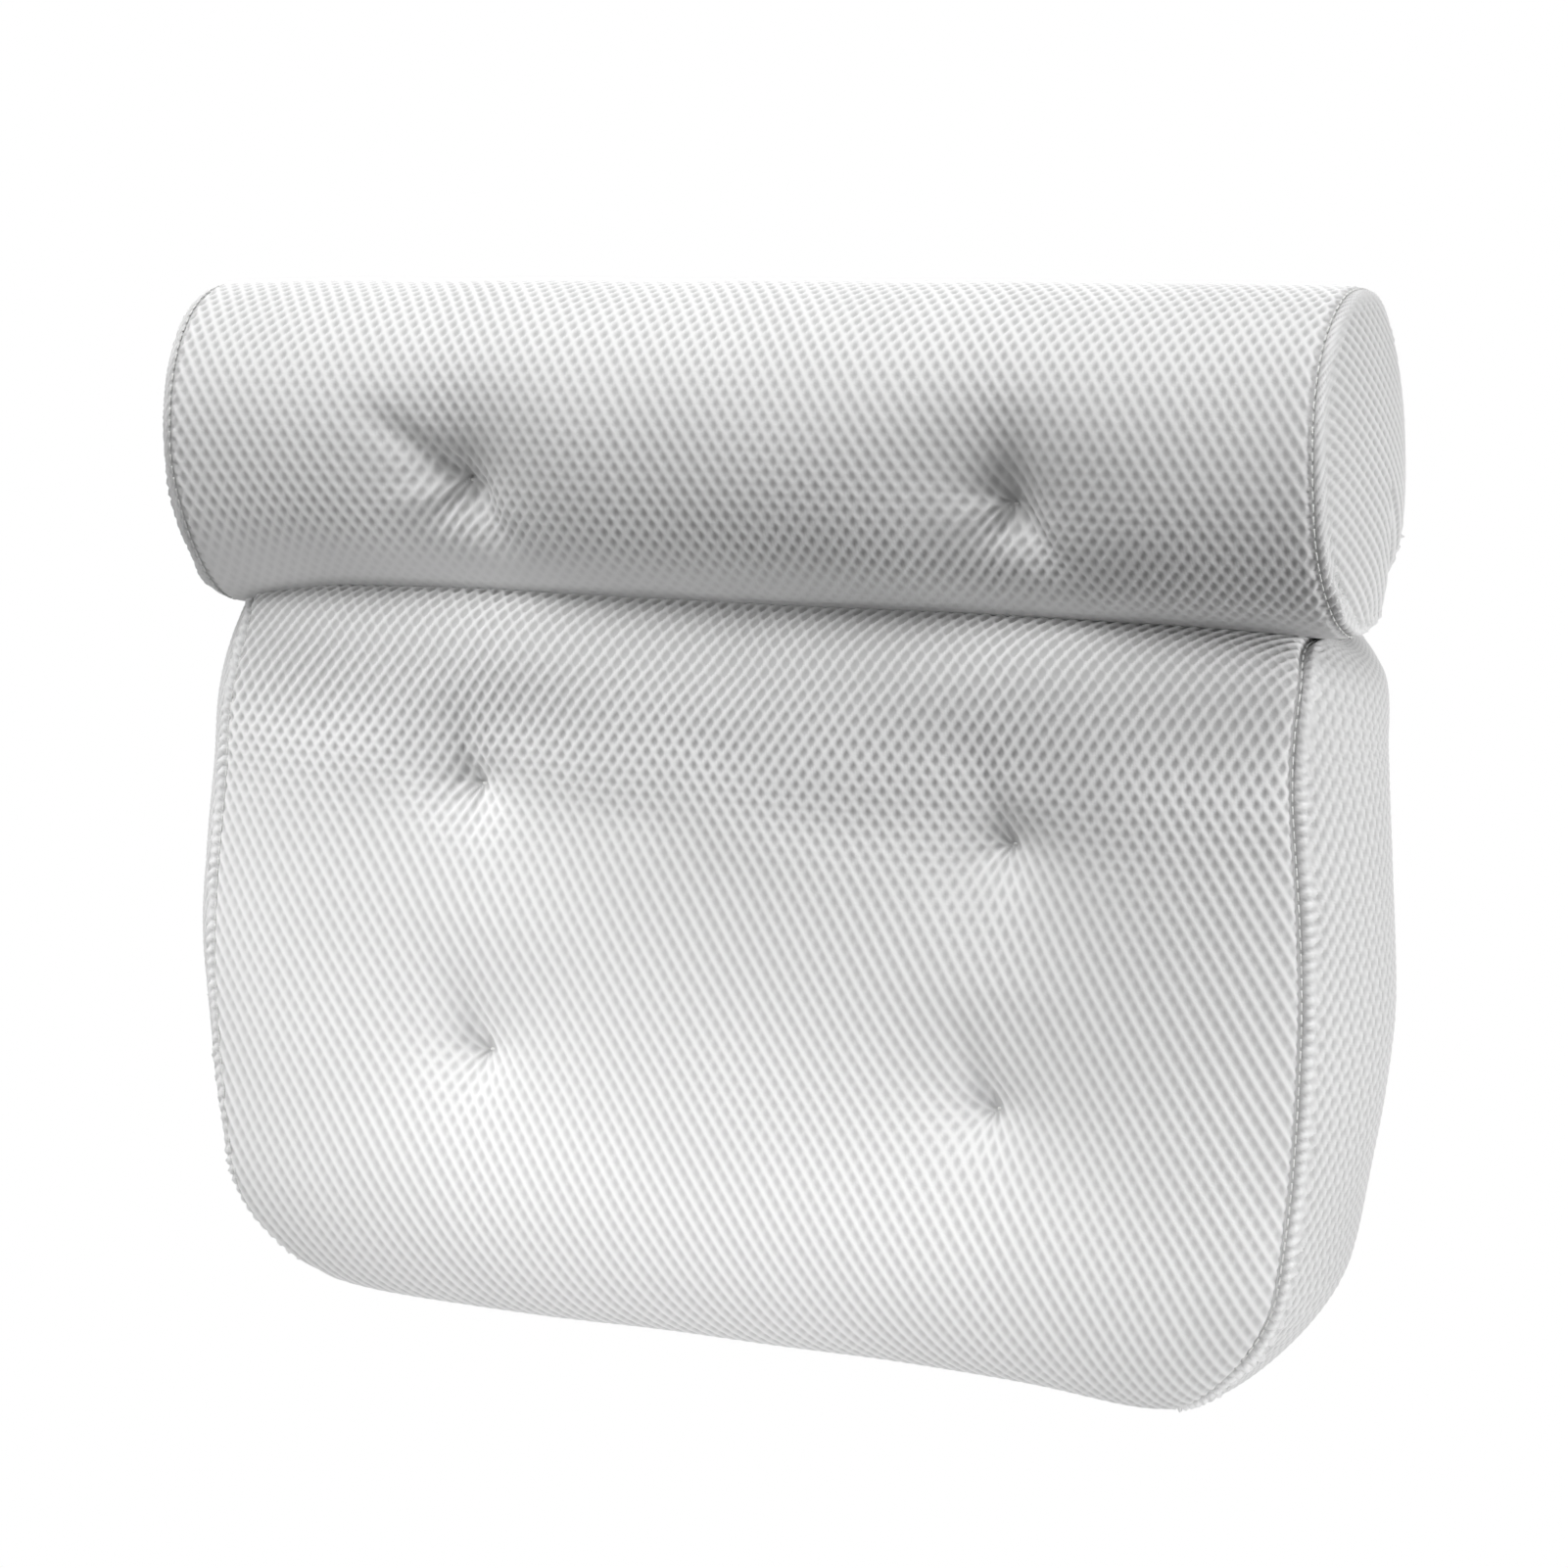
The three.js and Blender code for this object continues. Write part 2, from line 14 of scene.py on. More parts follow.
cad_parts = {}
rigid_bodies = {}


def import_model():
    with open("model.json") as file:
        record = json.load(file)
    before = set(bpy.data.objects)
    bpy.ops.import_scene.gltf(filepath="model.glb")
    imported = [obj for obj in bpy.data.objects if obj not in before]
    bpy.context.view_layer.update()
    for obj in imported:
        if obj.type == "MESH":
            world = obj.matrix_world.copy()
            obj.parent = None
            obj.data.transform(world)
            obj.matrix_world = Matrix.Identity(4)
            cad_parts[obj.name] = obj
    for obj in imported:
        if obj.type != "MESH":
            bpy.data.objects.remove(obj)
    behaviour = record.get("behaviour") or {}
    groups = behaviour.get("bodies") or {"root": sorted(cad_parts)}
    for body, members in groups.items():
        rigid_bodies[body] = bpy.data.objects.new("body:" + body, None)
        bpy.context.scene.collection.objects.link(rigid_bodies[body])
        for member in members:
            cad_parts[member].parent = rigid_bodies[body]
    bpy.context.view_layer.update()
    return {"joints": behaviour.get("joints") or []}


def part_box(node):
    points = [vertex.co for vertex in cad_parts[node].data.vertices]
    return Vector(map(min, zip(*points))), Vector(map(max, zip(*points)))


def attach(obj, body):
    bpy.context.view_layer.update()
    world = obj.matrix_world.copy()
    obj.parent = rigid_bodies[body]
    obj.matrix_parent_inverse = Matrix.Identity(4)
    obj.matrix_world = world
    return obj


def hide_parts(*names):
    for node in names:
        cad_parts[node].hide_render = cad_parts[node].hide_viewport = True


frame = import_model()

MM = 0.001

# Cushion, seam to seam
CUSHION_HALF_WIDTH = 172.0
CUSHION_DEPTH = 80.0
CORNER_RADIUS = 40.0
TOP_TAPER = 6.0
BOTTOM_TAPER = 12.0
FRONT_CROWN = 9.0
BACK_CROWN = 3.5
CROWN_POWER = 0.6
FRONT_TUFT_DEPTH = 7.1
GUSSET_BULGE = 17.0
GUSSET_LOW_SHARE = 0.5
BOTTOM_BULGE = 7.0
BOTTOM_ARCH = 1.2
SEAM_BOTTOM_Z = -127.0
STRAIGHT_ROWS = 6
BACK_BEHIND_HINGE = 6.0

# Rows of the cushion's section above and below its straight part. Each has the shares of the way that
# its front seam has gone back or forward and down, the same of its back seam, and its share of the crown.
TOP_SHARES = np.array((
    (0, 0, 0, 0, 0),
    (0.26, 0.055, 0.66, 0.2, 0),
    (0.53, 0.06, 0.88, 0.4, 0),
    (0.77, 0.11, 0.97, 0.6, 0.58),
    (0.94, 0.38, 1, 0.8, 0.95),
))
BOTTOM_SHARES = np.array((
    (0, 0.42, 0, 0.42, 1),
    (0.06, 0.72, 0.02, 0.7, 0.9),
    (0.17, 0.92, 0.06, 0.88, 0.6),
    (0.34, 1, 0.16, 0.98, 0),
))

# Bolster
BOLSTER_HALF_LENGTH = 178.0
BOLSTER_RADIUS_Y = 47.0
BOLSTER_RADIUS_Z = 48.5
BOLSTER_FRONT_BOW = 3.5
BOLSTER_HINGE_TUCK = 9.0
BOLSTER_TUFT_DEPTH = 11.2
BOLSTER_BACK_CROWN = 1.5
BOLSTER_TUFT_DROP = 9.0
END_BULGE = 8.0
HINGE_CORNER_POWER = 5.4
BACK_TOP_POWER = 2.8
FRONT_POWER = 2.1
BACK_TOP_SEAM_ANGLE = 0.77 * math.pi
HINGE_TUCK_ANGLE = 0.45
FACING_SHARES = (0.3, 0.8)

# The stuffing pushes the cushion's shoulder up against the bolster, more at the left
SHOULDER_SWELL = 2.8
SHOULDER_Y = -90.0
SHOULDER_REACH = 9.0
SHOULDER_TILT = 0.3
SHOULDER_BELOW_HINGE = 6.0

# The lower right corner has sunk, and is rounder than the left one
CORNER_SAG = 5.0
CORNER_SAG_X = 130.0
CORNER_SAG_REACH = 32.0
CORNER_SAG_Z = -70.0
CORNER_DRAW = 3.8
CORNER_DRAW_X = 100.0
CORNER_DRAW_Z = -80.0

# The bolster is fuller towards its right end, which leans in at the top. Its left end droops.
BOLSTER_RISE = 0.015
BOLSTER_SINK = 0.9
END_LEAN = 3.4
END_DROOP = 5.0
END_DROOP_X = -128.0
END_TUCK = 5.5
END_TUCK_X = -100.0
END_LOW_FRONT = 15.0

# The cushion hangs a little askew from its hinge, and its upper part a little aside
SKEW = 0.024
SKEW_LEVEL_Z = 20.0
SHIFT_ASIDE = 1.6
SHIFT_SPAN = (-30.0, 40.0)
SHIFT_BELOW_HINGE = (4.0, 16.0)

# The shoulder's two ends are pushed up against the bolster, the left one more
END_RISE = (3.5, 3.2)
END_RISE_Z = 84.0
END_RISE_REACH = 14.0
END_ROUND = (4.0, -1.5)
END_SPAN = (110.0, 165.0)
END_FRONT = (-55.0, -85.0)

# Tufts and the cloth that they draw in, most of it from below on the left
TUFT_REACH = 17.0
TUFT_FLAT = 5.7
GATHER = 3.6
GATHER_REACH = 11.0
GATHER_PULL = 0.75
GATHER_PULL_REACH = 24.0
GATHER_TURN = 0.75 * math.pi
GATHER_SLACK = 0.2
GATHER_SLACK_REACH = 15.0
CREASES_ROUND_TUFT = 7
CREASE_HEIGHT = 0.4
CREASE_START = 4.0
PIT_DEPTH = 6.0
PIT_REACH = 3.8
# Painted shade in each tuft's pit: how dark it is, its reach, its shift along the cloth and its stretch along
# it
PIT_PAINTED_SHADE = 0.8
PIT_SHADE_REACH = 1.6
PIT_SHADE_LIFT = 1.0
PIT_SHADE_STRETCH = 0.3

# How far across and up the pit of each tuft lies from its thread's eye
PIT_SHIFTS = {
    "upper_left": (3.9, 2.5),
    "lower_left": (5.2, 1.6),
    "upper_right": (1.9, -5.3),
    "lower_right": (-2.1, -2.9),
    "bolster_left": (1.0, -1.0),
    "bolster_right": (0.8, -2.0),
}

# Folds that run out from a tuft: across and down to where each fades, its depth and its half width
FOLDS = {
    "bolster_left": ((-30, -24, 2.8, 6.0), (15, 26, 4.0, 7.5), (-22, 8, -2.0, 6.0)),
    "bolster_right": ((2, -28, 2.0, 9.0), (15, 22, 3.6, 6.5), (-20, 6, -1.6, 6.0)),
    "upper_left": ((-9, -27, 2.2, 6.0), (-14, 18, -0.8, 5.0)),
    "upper_right": ((-10, -30, 1.7, 6.0), (-12, 20, -1.0, 5.0)),
    "lower_left": ((-8, -24, 2.2, 6.0), (-15, 16, -0.8, 5.0)),
    "lower_right": ((-9, -28, 2.4, 6.0), (-9, 22, -0.8, 5.0)),
}
FOLD_START = (-2.0, 5.0)
FOLD_FADE_SHARES = (0.3, 1.25)

# Air mesh: the net's cell, its lean, and how far its strands stand up
CELL_WIDTH = 4.25
CELL_HEIGHT = 6.6
LEAN = 0.04
STRAND_RELIEF = 0.8
NET_MEAN = 0.65
TENSION = -0.38

# The net's contrast where nothing changes it, and the pull and contrast of panels cut the other way round
PLAIN_CONTRAST = 0.7
TURNED_PULL = 0.35
TURNED_CONTRAST = 0.85

# Slow drifts of the net across and along the cloth, of its tension and of its height: seed, size and reach
DRIFTS = ((7, 0.9, 90), (8, 0.7, 80), (9, 0.2, 60), (11, 0.5, 46))
DRIFT_WAVES = 5

# The net beside the crease, measured down from the shoulder: drawn tight, with painted shade where the
# bolster shades it, and painted light inside the crease
CREASE_TENSION = 0.68
CREASE_REACH = 37.0
CREASE_CONTRAST = (0.63, 0.55)
CREASE_SHADE = 0.32
CREASE_SHADE_TOP = -6.0
CREASE_SHADE_REACH = 20.0
CREASE_GLOW = 0.25
CREASE_GLOW_SPAN = (-32.0, -21.0)

# The bolster's net: opened above and below the tufts' row, pressed flat from a line that leans along the
# bolster, and with painted light near its lowest line, where the crease is in shade. Further on it is out
# of sight, and plain. The pull and the contrast have a value in front and what is added above and below.
OPEN_ABOVE = (-22.0, -50.0)
OPEN_BELOW = (-5.0, 25.0)
OPEN_PULL = (0.2, 0.2, 0.25)
OPEN_CONTRAST = (0.7, 0.2, 0.35)
PRESSED_LINE = -56.0
PRESSED_LEAN = (12.0, 7.0)
PRESSED_LEFT_X = -60.0
PRESSED_SPAN = (0.0, 20.0)
PRESSED_SHARE = 0.88
UNDER_GLOW = 0.3
UNDER_GLOW_SPAN = (-22.0, -8.0)
IN_SIGHT = (18.0, 2.0)

# Seams: how deep and how dark the groove is, and how high the gathers beside it stand
SEAM_PITCH = 3.5
SEAM_WIDTH = 1.5
BOX_SEAM = (2.3, 0.9, 0.9)
END_SEAM = (1.0, 0.7, 0.8)
HINGE_SEAM = (0.0, 0.9, 0.0)
HINGE_GAP = 0.25
BAND_SUNK = 0.18
BAND_GATHER = 0.12
BAND_CREASES = 6
BAND_CREASE_SHARE = 0.04
ALL_PLAIN = {"top": "plain", "bottom": "plain", "left": "plain", "right": "plain"}

# How lumpy the gathers are: the least and how much more, low on the bolster and at the cushion's corner
BOLSTER_LUMPS = (0.6, 1.1)
BOLSTER_LUMPS_ABOVE_HINGE = 12.0
CORNER_LUMPS = (0.9, 1.0)
CORNER_LUMPS_X = (30.0, 120.0)
CORNER_LUMPS_Y = (-50.0, -80.0)
CORNER_LUMPS_Z = -60.0

# Slow waves along a seam: the size, the length of each and where it starts
STITCH_DRIFT = (0.5, 7.7, 0)
SEAM_SWAY = (0.25, 4.1, 0)
UNEVEN_WAVES = ((0.35, 5.3, 0), (0.25, 2.9, 1))
FAR_WAVE = (0.8, 9.0, 0)
BAND_WAVE = (0.06, 6.1, 0)

# Rows beside a seam, with the distance and the width of each, and where the net sets in again
NEEDLE_HOLES = (1.5, 0.8)
NEAR_GATHERS = (2.9, 1.3)
FAR_GATHERS = (5.8, 1.5)
PLAIN_MARGIN = (0.6, 2.4)
GATHERED_MARGIN = (2.6, 7.5)

# Threads, stitches and suction cups
THREAD_RADIUS = 0.5
STITCH_HALF = 0.9
STITCH_REACH = 4.0
STRAND_HALF = 3.3
EYE_REACH = 14.0
STITCH_LENGTH = 2.3
STITCH_RADIUS = 0.24
STITCH_SUNK = 0.55
CUP_RADIUS = 25.0
CUP_HEIGHT = 13.5
CUP_CROWN_WALL = 4.5
CUP_EYE_Y = -17.8
EYE_RADIUS = 4.3
EYE_HOLE_RADIUS = 1.7
EYE_HALF_WIDTH = 2.4
NECK_HALF_HEIGHT = 2.7

# A cup's section from its crown to its rim and back inside: shares of its radius and of its height or hollow
CUP_OUTSIDE = (
    (0.001, 1), (0.14, 1), (0.26, 0.985), (0.4, 0.9), (0.56, 0.7), (0.72, 0.49), (0.86, 0.3), (0.96, 0.15),
    (0.995, 0.08), (1, 0.04), (0.99, 0), (0.92, 0),
)
CUP_INSIDE = ((0.88, 0.08), (0.8, 0.3), (0.68, 0.5), (0.56, 0.66), (0.4, 0.83), (0.22, 0.96), (0.001, 1))

# Levels of the eye's neck: its share of its width, and how far it stands above the crown
NECK_LEVELS = ((1.6, -1.5), (1.25, 0), (1, 0.8), (0.95, 1.9))

# Stuffing: how far it lies inside the cover, and how full each cover is
STUFFING_INSET = 4.5
STUFFING_TUFT_INSET = 12.0
STUFFING_TUFT_REACH = 13.0
CUSHION_FILL = 0.8
BOLSTER_FILL = 0.85

# Cloth simulation: how far a cover may swell, how firmly its seams are held, and the cloth
CUSHION_SWELL = 4.6
BOLSTER_SWELL = 5.0
SEAM_HOLD = 0.3
SETTLE_FRAMES = 20
CLOTH = {
    "quality": 6, "mass": 0.25, "tension_stiffness": 18, "compression_stiffness": 18, "shear_stiffness": 8,
    "bending_stiffness": 1.2, "use_pressure": True, "uniform_pressure_force": 4, "vertex_group_mass": "held",
}

# Grids
COARSE_STEP = 4.7
FRONT_STEP = 0.7
SIDE_STEP = 0.76
BACK_STEP = 0.95
FINE_STEP = 0.42
TUFT_STEP_REACH = 9.0
SEAM_STEP_REACH = 6.0
BAKE_MARGIN = 0.004

# Stage. Each lamp has its place, its aim, its size, its spread in degrees and its power.
CAMERA_AZIMUTH = 19.85
CAMERA_ELEVATION = 9.95
CAMERA_ROLL = 0.04
CAMERA_DISTANCE = 1256.0
CAMERA_TARGET = (3.9, -67.0, 42.6)
CAMERA_LENS = 95.95
CAMERA_SENSOR = 36
FLOOR_HALF = 40.0
FLOOR_LEVEL = -0.62
LAMPS = {
    "top": ((-0.2, -0.35, 1.5), (0, -0.07, 0.15), (0.9, 0.6), 60, 1.08),
    "top_front": ((-0.3, -0.9, 1.4), (0, -0.07, 0.1), (0.8, 0.8), 60, 2.14),
    "left": ((-0.9, -0.9, 0.1), (-0.11, -0.09, 0.02), (0.15, 0.12), 15, 0.046),
    "front_low": ((-0.1, -1.2, -0.25), (0, -0.1, -0.12), (0.35, 0.1), 20, 0.11),
    "under": ((0, -0.45, -0.45), (0, -0.08, -0.12), (0.6, 0.2), 40, 0.07),
    "side": ((1.3, -0.2, 0.1), (0.19, -0.06, 0.03), (0.6, 0.5), 50, 1.06),
    "back": ((-0.5, 1.5, 0.8), (0, -0.06, 0.03), (1.0, 1.0), 60, 3.0),
}

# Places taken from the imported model
FOLD = next(joint for joint in frame["joints"] if joint["name"] == "bolster_fold")
_, HINGE_Y, HINGE_Z = (value / MM for value in FOLD["pos_m"])
HINGE_BAND_RADIUS = (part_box("hinge_band")[1].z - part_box("hinge_band")[0].z) / 2 / MM


def tuft_of(place):
    """Middle x and middle z of the tuft that this thread holds."""
    low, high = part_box(f"tuft_thread_{place}")
    return (low.x + high.x) / 2 / MM, (low.z + high.z) / 2 / MM


CUSHION_PLACES = ("upper_left", "upper_right", "lower_left", "lower_right")
BOLSTER_PLACES = ("bolster_left", "bolster_right")
TUFTS = {place: tuft_of(place) for place in CUSHION_PLACES + BOLSTER_PLACES}
ROW_Z = (TUFTS["upper_right"][1], TUFTS["lower_right"][1])
BOLSTER_TUFT_Z = TUFTS["bolster_right"][1]
BACK_Y = HINGE_Y + BACK_BEHIND_HINGE
FRONT_Y = BACK_Y - CUSHION_DEPTH
BOLSTER_Y = BACK_Y - BOLSTER_RADIUS_Y
BOLSTER_Z = BOLSTER_TUFT_Z + BOLSTER_TUFT_DROP
CORNER_STEP = (HINGE_BAND_RADIUS + HINGE_GAP) * math.sqrt(0.5)
HINGE_CORNER_SHARE = (HINGE_Y - CORNER_STEP - BOLSTER_Y) / BOLSTER_RADIUS_Y
HINGE_CORNER_ANGLE = -math.pi + math.acos(HINGE_CORNER_SHARE ** (HINGE_CORNER_POWER / 2))


# Curves and grids


def smoothstep(value, low, high):
    """0 at low and 1 at high, which may be the smaller of the two."""
    t = np.clip((value - low) / (high - low), 0, 1)
    return t * t * (3 - 2 * t)


def bell(value, reach):
    """1 at 0, fading on both sides."""
    return np.exp(-((value / reach) ** 2))


def circle(count):
    return np.linspace(0, 2 * math.pi, count, endpoint=False)


def unit(vectors):
    return vectors / np.linalg.norm(vectors, axis=-1, keepdims=True)


def lengths_along(points):
    """Distance from the first point, along a row of points."""
    steps = np.linalg.norm(np.diff(points, axis=0), axis=-1)
    return np.concatenate([np.zeros((1,) + steps.shape[1:]), np.cumsum(steps, axis=0)])


def middle_lengths(grid):
    """Distance down the middle column of a grid of points."""
    return lengths_along(grid[:, grid.shape[1] // 2])


def cubic_weights(at, count):
    """Matrix that samples count values at fractional places in their order, as one smooth curve."""
    at = np.asarray(at, float)
    first = np.clip(np.floor(at).astype(int), 0, count - 2)
    t = at - first
    shares = [
        -0.5 * t + t**2 - 0.5 * t**3,
        1 - 2.5 * t**2 + 1.5 * t**3,
        0.5 * t + 2 * t**2 - 1.5 * t**3,
        -0.5 * t**2 + 0.5 * t**3,
    ]
    weights = np.zeros((len(at), count + 2))
    for offset, share in enumerate(shares):
        weights[np.arange(len(at)), first + offset] += share
    inner = weights[:, 1:-1].copy()
    inner[:, 0] += 2 * weights[:, 0]
    inner[:, 1] -= weights[:, 0]
    inner[:, -1] += 2 * weights[:, -1]
    inner[:, -2] -= weights[:, -1]
    return inner


def evenly(low, high, length):
    """Values from low to high, as many as there are coarse steps in a length."""
    return np.linspace(low, high, round(length / COARSE_STEP) + 1)


def even_values(values, points):
    """Values that belong to a row of points, read about a coarse step apart along it."""
    along = lengths_along(points)
    return np.interp(evenly(0, along[-1], along[-1]), along, values)


def tuft_middles(place, y):
    """Where a tuft draws the cover in, at each depth: at its pit in front, and at its thread's eye behind."""
    x, z = TUFTS[place]
    across, up = PIT_SHIFTS[place]
    front = y < BOLSTER_Y
    return x + across * front, z + up * front


def tuft_distance(place, points):
    """How far points are from where a tuft draws the cover in."""
    x, z = tuft_middles(place, points[:, 1])
    return np.hypot(points[:, 0] - x, points[:, 2] - z)


def tuft_pull(places, x, y, z, depth):
    """How far the tufts draw the cover in at each point."""
    pulls = []
    for place in places:
        tuft_x, tuft_z = tuft_middles(place, y)
        out = np.maximum(0, np.hypot(x - tuft_x, z - tuft_z) - TUFT_FLAT)
        pulls.append(depth * np.exp(-out / TUFT_REACH) * (1 - smoothstep(out, TUFT_REACH, 3 * TUFT_REACH)))
    return np.max(pulls, axis=0)


# Cushion


def cushion_profile():
    """Front seam, back seam and crown share of the cushion, from the hinge corner down to the bottom."""
    shoulder, lowest = ROW_Z[0] + TUFT_REACH, ROW_Z[1] - TUFT_REACH
    corner = np.array((HINGE_Y - CORNER_STEP, HINGE_Z - CORNER_STEP) * 2 + (0,))
    upper, lower = (np.array((FRONT_Y, z, BACK_Y, z, 0)) for z in (shoulder, lowest))
    bottom = np.array((BACK_Y, SEAM_BOTTOM_Z, FRONT_Y, SEAM_BOTTOM_Z, 0))
    crown = (0, 0, 0, 0, 1)
    table = np.concatenate([
        corner + TOP_SHARES * (upper - corner + crown),
        np.linspace(upper, lower, STRAIGHT_ROWS) + crown,
        lower + BOTTOM_SHARES * (bottom - lower + crown),
    ])
    fine = np.linspace(0, len(table) - 1, 40 * len(table))
    places = even_values(fine, cubic_weights(fine, len(table)) @ table[:, :2])
    return cubic_weights(places, len(table)) @ table


def cushion_half(z):
    """Half width of the cushion at a height: widest at the middle, rounded at the lower corners."""
    rise = CORNER_RADIUS - np.clip(z - SEAM_BOTTOM_Z, 0, CORNER_RADIUS)
    corner = CORNER_RADIUS - np.sqrt(CORNER_RADIUS**2 - rise**2)
    middle = (HINGE_Z + SEAM_BOTTOM_Z) / 2
    below = np.maximum(0, middle - z) / (middle - SEAM_BOTTOM_Z)
    taper = TOP_TAPER * smoothstep(z, middle, ROW_Z[0] + 2 * TUFT_REACH) + BOTTOM_TAPER * below**2
    return CUSHION_HALF_WIDTH - corner - taper


def cushion_face(profile, front):
    """Coarse grid of one face of the cushion, crowned between its seams and drawn in at the tufts."""
    seam = profile[:, :2] if front else profile[:, 2:4]
    crown_share = np.clip(profile[:, 4], 0, 1)[:, None]
    along = unit(np.gradient(seam, axis=0))
    outward = np.stack([along[:, 1], -along[:, 0]], 1) * (1 if front else -1)
    share = evenly(-1, 1, 2 * CUSHION_HALF_WIDTH)[None]
    x = share * cushion_half(seam[:, 1])[:, None]
    z = seam[:, 1:] + 0 * x
    crown = (FRONT_CROWN if front else BACK_CROWN) * crown_share * (1 - share**4) ** CROWN_POWER
    depth = FRONT_TUFT_DEPTH if front else BACK_CROWN
    lift = crown - crown_share * tuft_pull(CUSHION_PLACES, x, seam[:, :1], z, depth)
    if front:
        swell = SHOULDER_SWELL * bell(seam[:, :1] - SHOULDER_Y, SHOULDER_REACH)
        swell = swell * smoothstep(z, ROW_Z[0] + TUFT_REACH, HINGE_Z - SHOULDER_BELOW_HINGE)
        lift = lift + swell * (1 - share**8) * (1 - SHOULDER_TILT * share)
    low = smoothstep(z, ROW_Z[1], SEAM_BOTTOM_Z)
    arch = BOTTOM_ARCH * low * (1 + np.cos(math.pi * share)) / 2
    y = seam[:, :1] + outward[:, :1] * lift
    return np.stack([x, y, z + outward[:, 1:] * lift + arch], 2)


def hang(points):
    """The cushion's points, let down more and more to one side, except at the tufts."""
    x, y, z = points.T
    free = 1
    for place in CUSHION_PLACES:
        free = free * (1 - bell(tuft_distance(place, points), TUFT_REACH))
    drop = SKEW * x * free * smoothstep(z, HINGE_Z, SKEW_LEVEL_Z)
    corner = bell(x - CORNER_SAG_X, CORNER_SAG_REACH)
    drop = drop + CORNER_SAG * corner * smoothstep(z, CORNER_SAG_Z, SEAM_BOTTOM_Z)
    draw = CORNER_DRAW * smoothstep(x, CORNER_DRAW_X, CUSHION_HALF_WIDTH)
    draw = draw * smoothstep(z, CORNER_DRAW_Z, SEAM_BOTTOM_Z)
    end, level = smoothstep(abs(x), *END_SPAN), bell(z - END_RISE_Z, END_RISE_REACH)
    drop = drop - np.where(x < 0, *END_RISE) * end * smoothstep(y, *END_FRONT) * level
    draw = draw + np.sign(x) * np.where(x < 0, *END_ROUND) * end * level
    fade = [HINGE_Z - below for below in SHIFT_BELOW_HINGE]
    aside = SHIFT_ASIDE * free * smoothstep(z, *SHIFT_SPAN) * smoothstep(z, *fade)
    return points - np.stack([draw - aside, 0 * x, drop], 1)


def rim_of(grid):
    """Down the first column, along the last row and up the last column."""
    return np.concatenate([grid[:, 0], grid[-1, 1:-1], grid[::-1, -1]])


def cushion_belt(front, back):
    """Coarse grid of the gusset, from the front seam to the back seam, bulging between them."""
    start, end = rim_of(front), rim_of(back)
    along = np.gradient(start, axis=0)
    outward = unit(np.stack([along[:, 2], np.zeros(len(start)), -along[:, 0]], 1))
    upper = smoothstep(start[:, 2], 0, ROW_Z[0])
    straight = np.stack([np.sign(start[:, 0]), *np.zeros((2, len(start)))], 1)
    outward = unit(outward + upper[:, None] * (straight - outward))
    slope = abs(outward[:, 2])
    side_bulge = GUSSET_BULGE * (1 - (1 - GUSSET_LOW_SHARE) * smoothstep(start[:, 2], 0, SEAM_BOTTOM_Z))
    height = side_bulge + (BOTTOM_BULGE - side_bulge) * slope
    width = np.minimum(1, np.linalg.norm(end - start, axis=1) / CUSHION_DEPTH)
    share = evenly(0, 1, CUSHION_DEPTH)[None, :, None]
    bulge = (height * width)[:, None, None] * 4 * share * (1 - share)
    return start[:, None] * (1 - share) + end[:, None] * share + outward[:, None] * bulge


# Bolster


def bolster_section(angle):
    """Place on the bolster's section at an angle from the front, turning over the top to the back."""
    c, s = -np.cos(angle), np.sin(angle)
    power = np.where(c > 0, np.where(s < 0, HINGE_CORNER_POWER, BACK_TOP_POWER), FRONT_POWER)
    y = BOLSTER_Y + BOLSTER_RADIUS_Y * np.sign(c) * abs(c) ** (2 / power)
    z = BOLSTER_Z + BOLSTER_RADIUS_Z * np.sign(s) * abs(s) ** (2 / power)
    return y, z


def bolster_half(angle):
    """Half length round the section: bowed in at the front, tucked in at the hinge."""
    bow = BOLSTER_FRONT_BOW * np.maximum(0, np.cos(angle)) ** 2
    turns = [abs(angle - HINGE_CORNER_ANGLE), abs(angle - 2 * math.pi - HINGE_CORNER_ANGLE)]
    return BOLSTER_HALF_LENGTH - bow - BOLSTER_HINGE_TUCK * bell(np.minimum(*turns), HINGE_TUCK_ANGLE)


def bolster_face(start, end):
    """Coarse grid of the bolster's cover between two angles of its section."""
    fine = np.linspace(start, end, 2000)
    angle = even_values(fine, np.stack(bolster_section(fine), 1))[:, None]
    share = evenly(-1, 1, 2 * BOLSTER_HALF_LENGTH)[None]
    x = share * bolster_half(angle)
    y, z = (value + 0 * x for value in bolster_section(angle))
    near = smoothstep(abs(np.cos(angle)), *FACING_SHARES)
    back = np.cos(angle) < 0
    depth = np.where(back, BOLSTER_BACK_CROWN, BOLSTER_TUFT_DEPTH)
    pull = near * tuft_pull(BOLSTER_PLACES, x, y, z, depth)
    crown = np.where(back, BOLSTER_BACK_CROWN * near * (1 - share**4), 0)
    return np.stack([x, y + np.where(back, crown - pull, pull), z], 2)


def bolster_end(ring, side):
    """Coarse grid of an end panel, swelling from its seam to its middle."""
    angle = evenly(0, math.pi / 2, BOLSTER_RADIUS_Z)[:, None]
    share = np.cos(angle)
    share[-1] = 0
    middles = (BOLSTER_HALF_LENGTH, BOLSTER_Y, BOLSTER_Z)
    rim = (abs(ring[:, 0]), *ring.T[1:])
    x, y, z = (middle * (1 - share) + seam * share for middle, seam in zip(middles, rim))
    return np.stack([side * (x + END_BULGE * np.sin(angle)), y, z], 2)


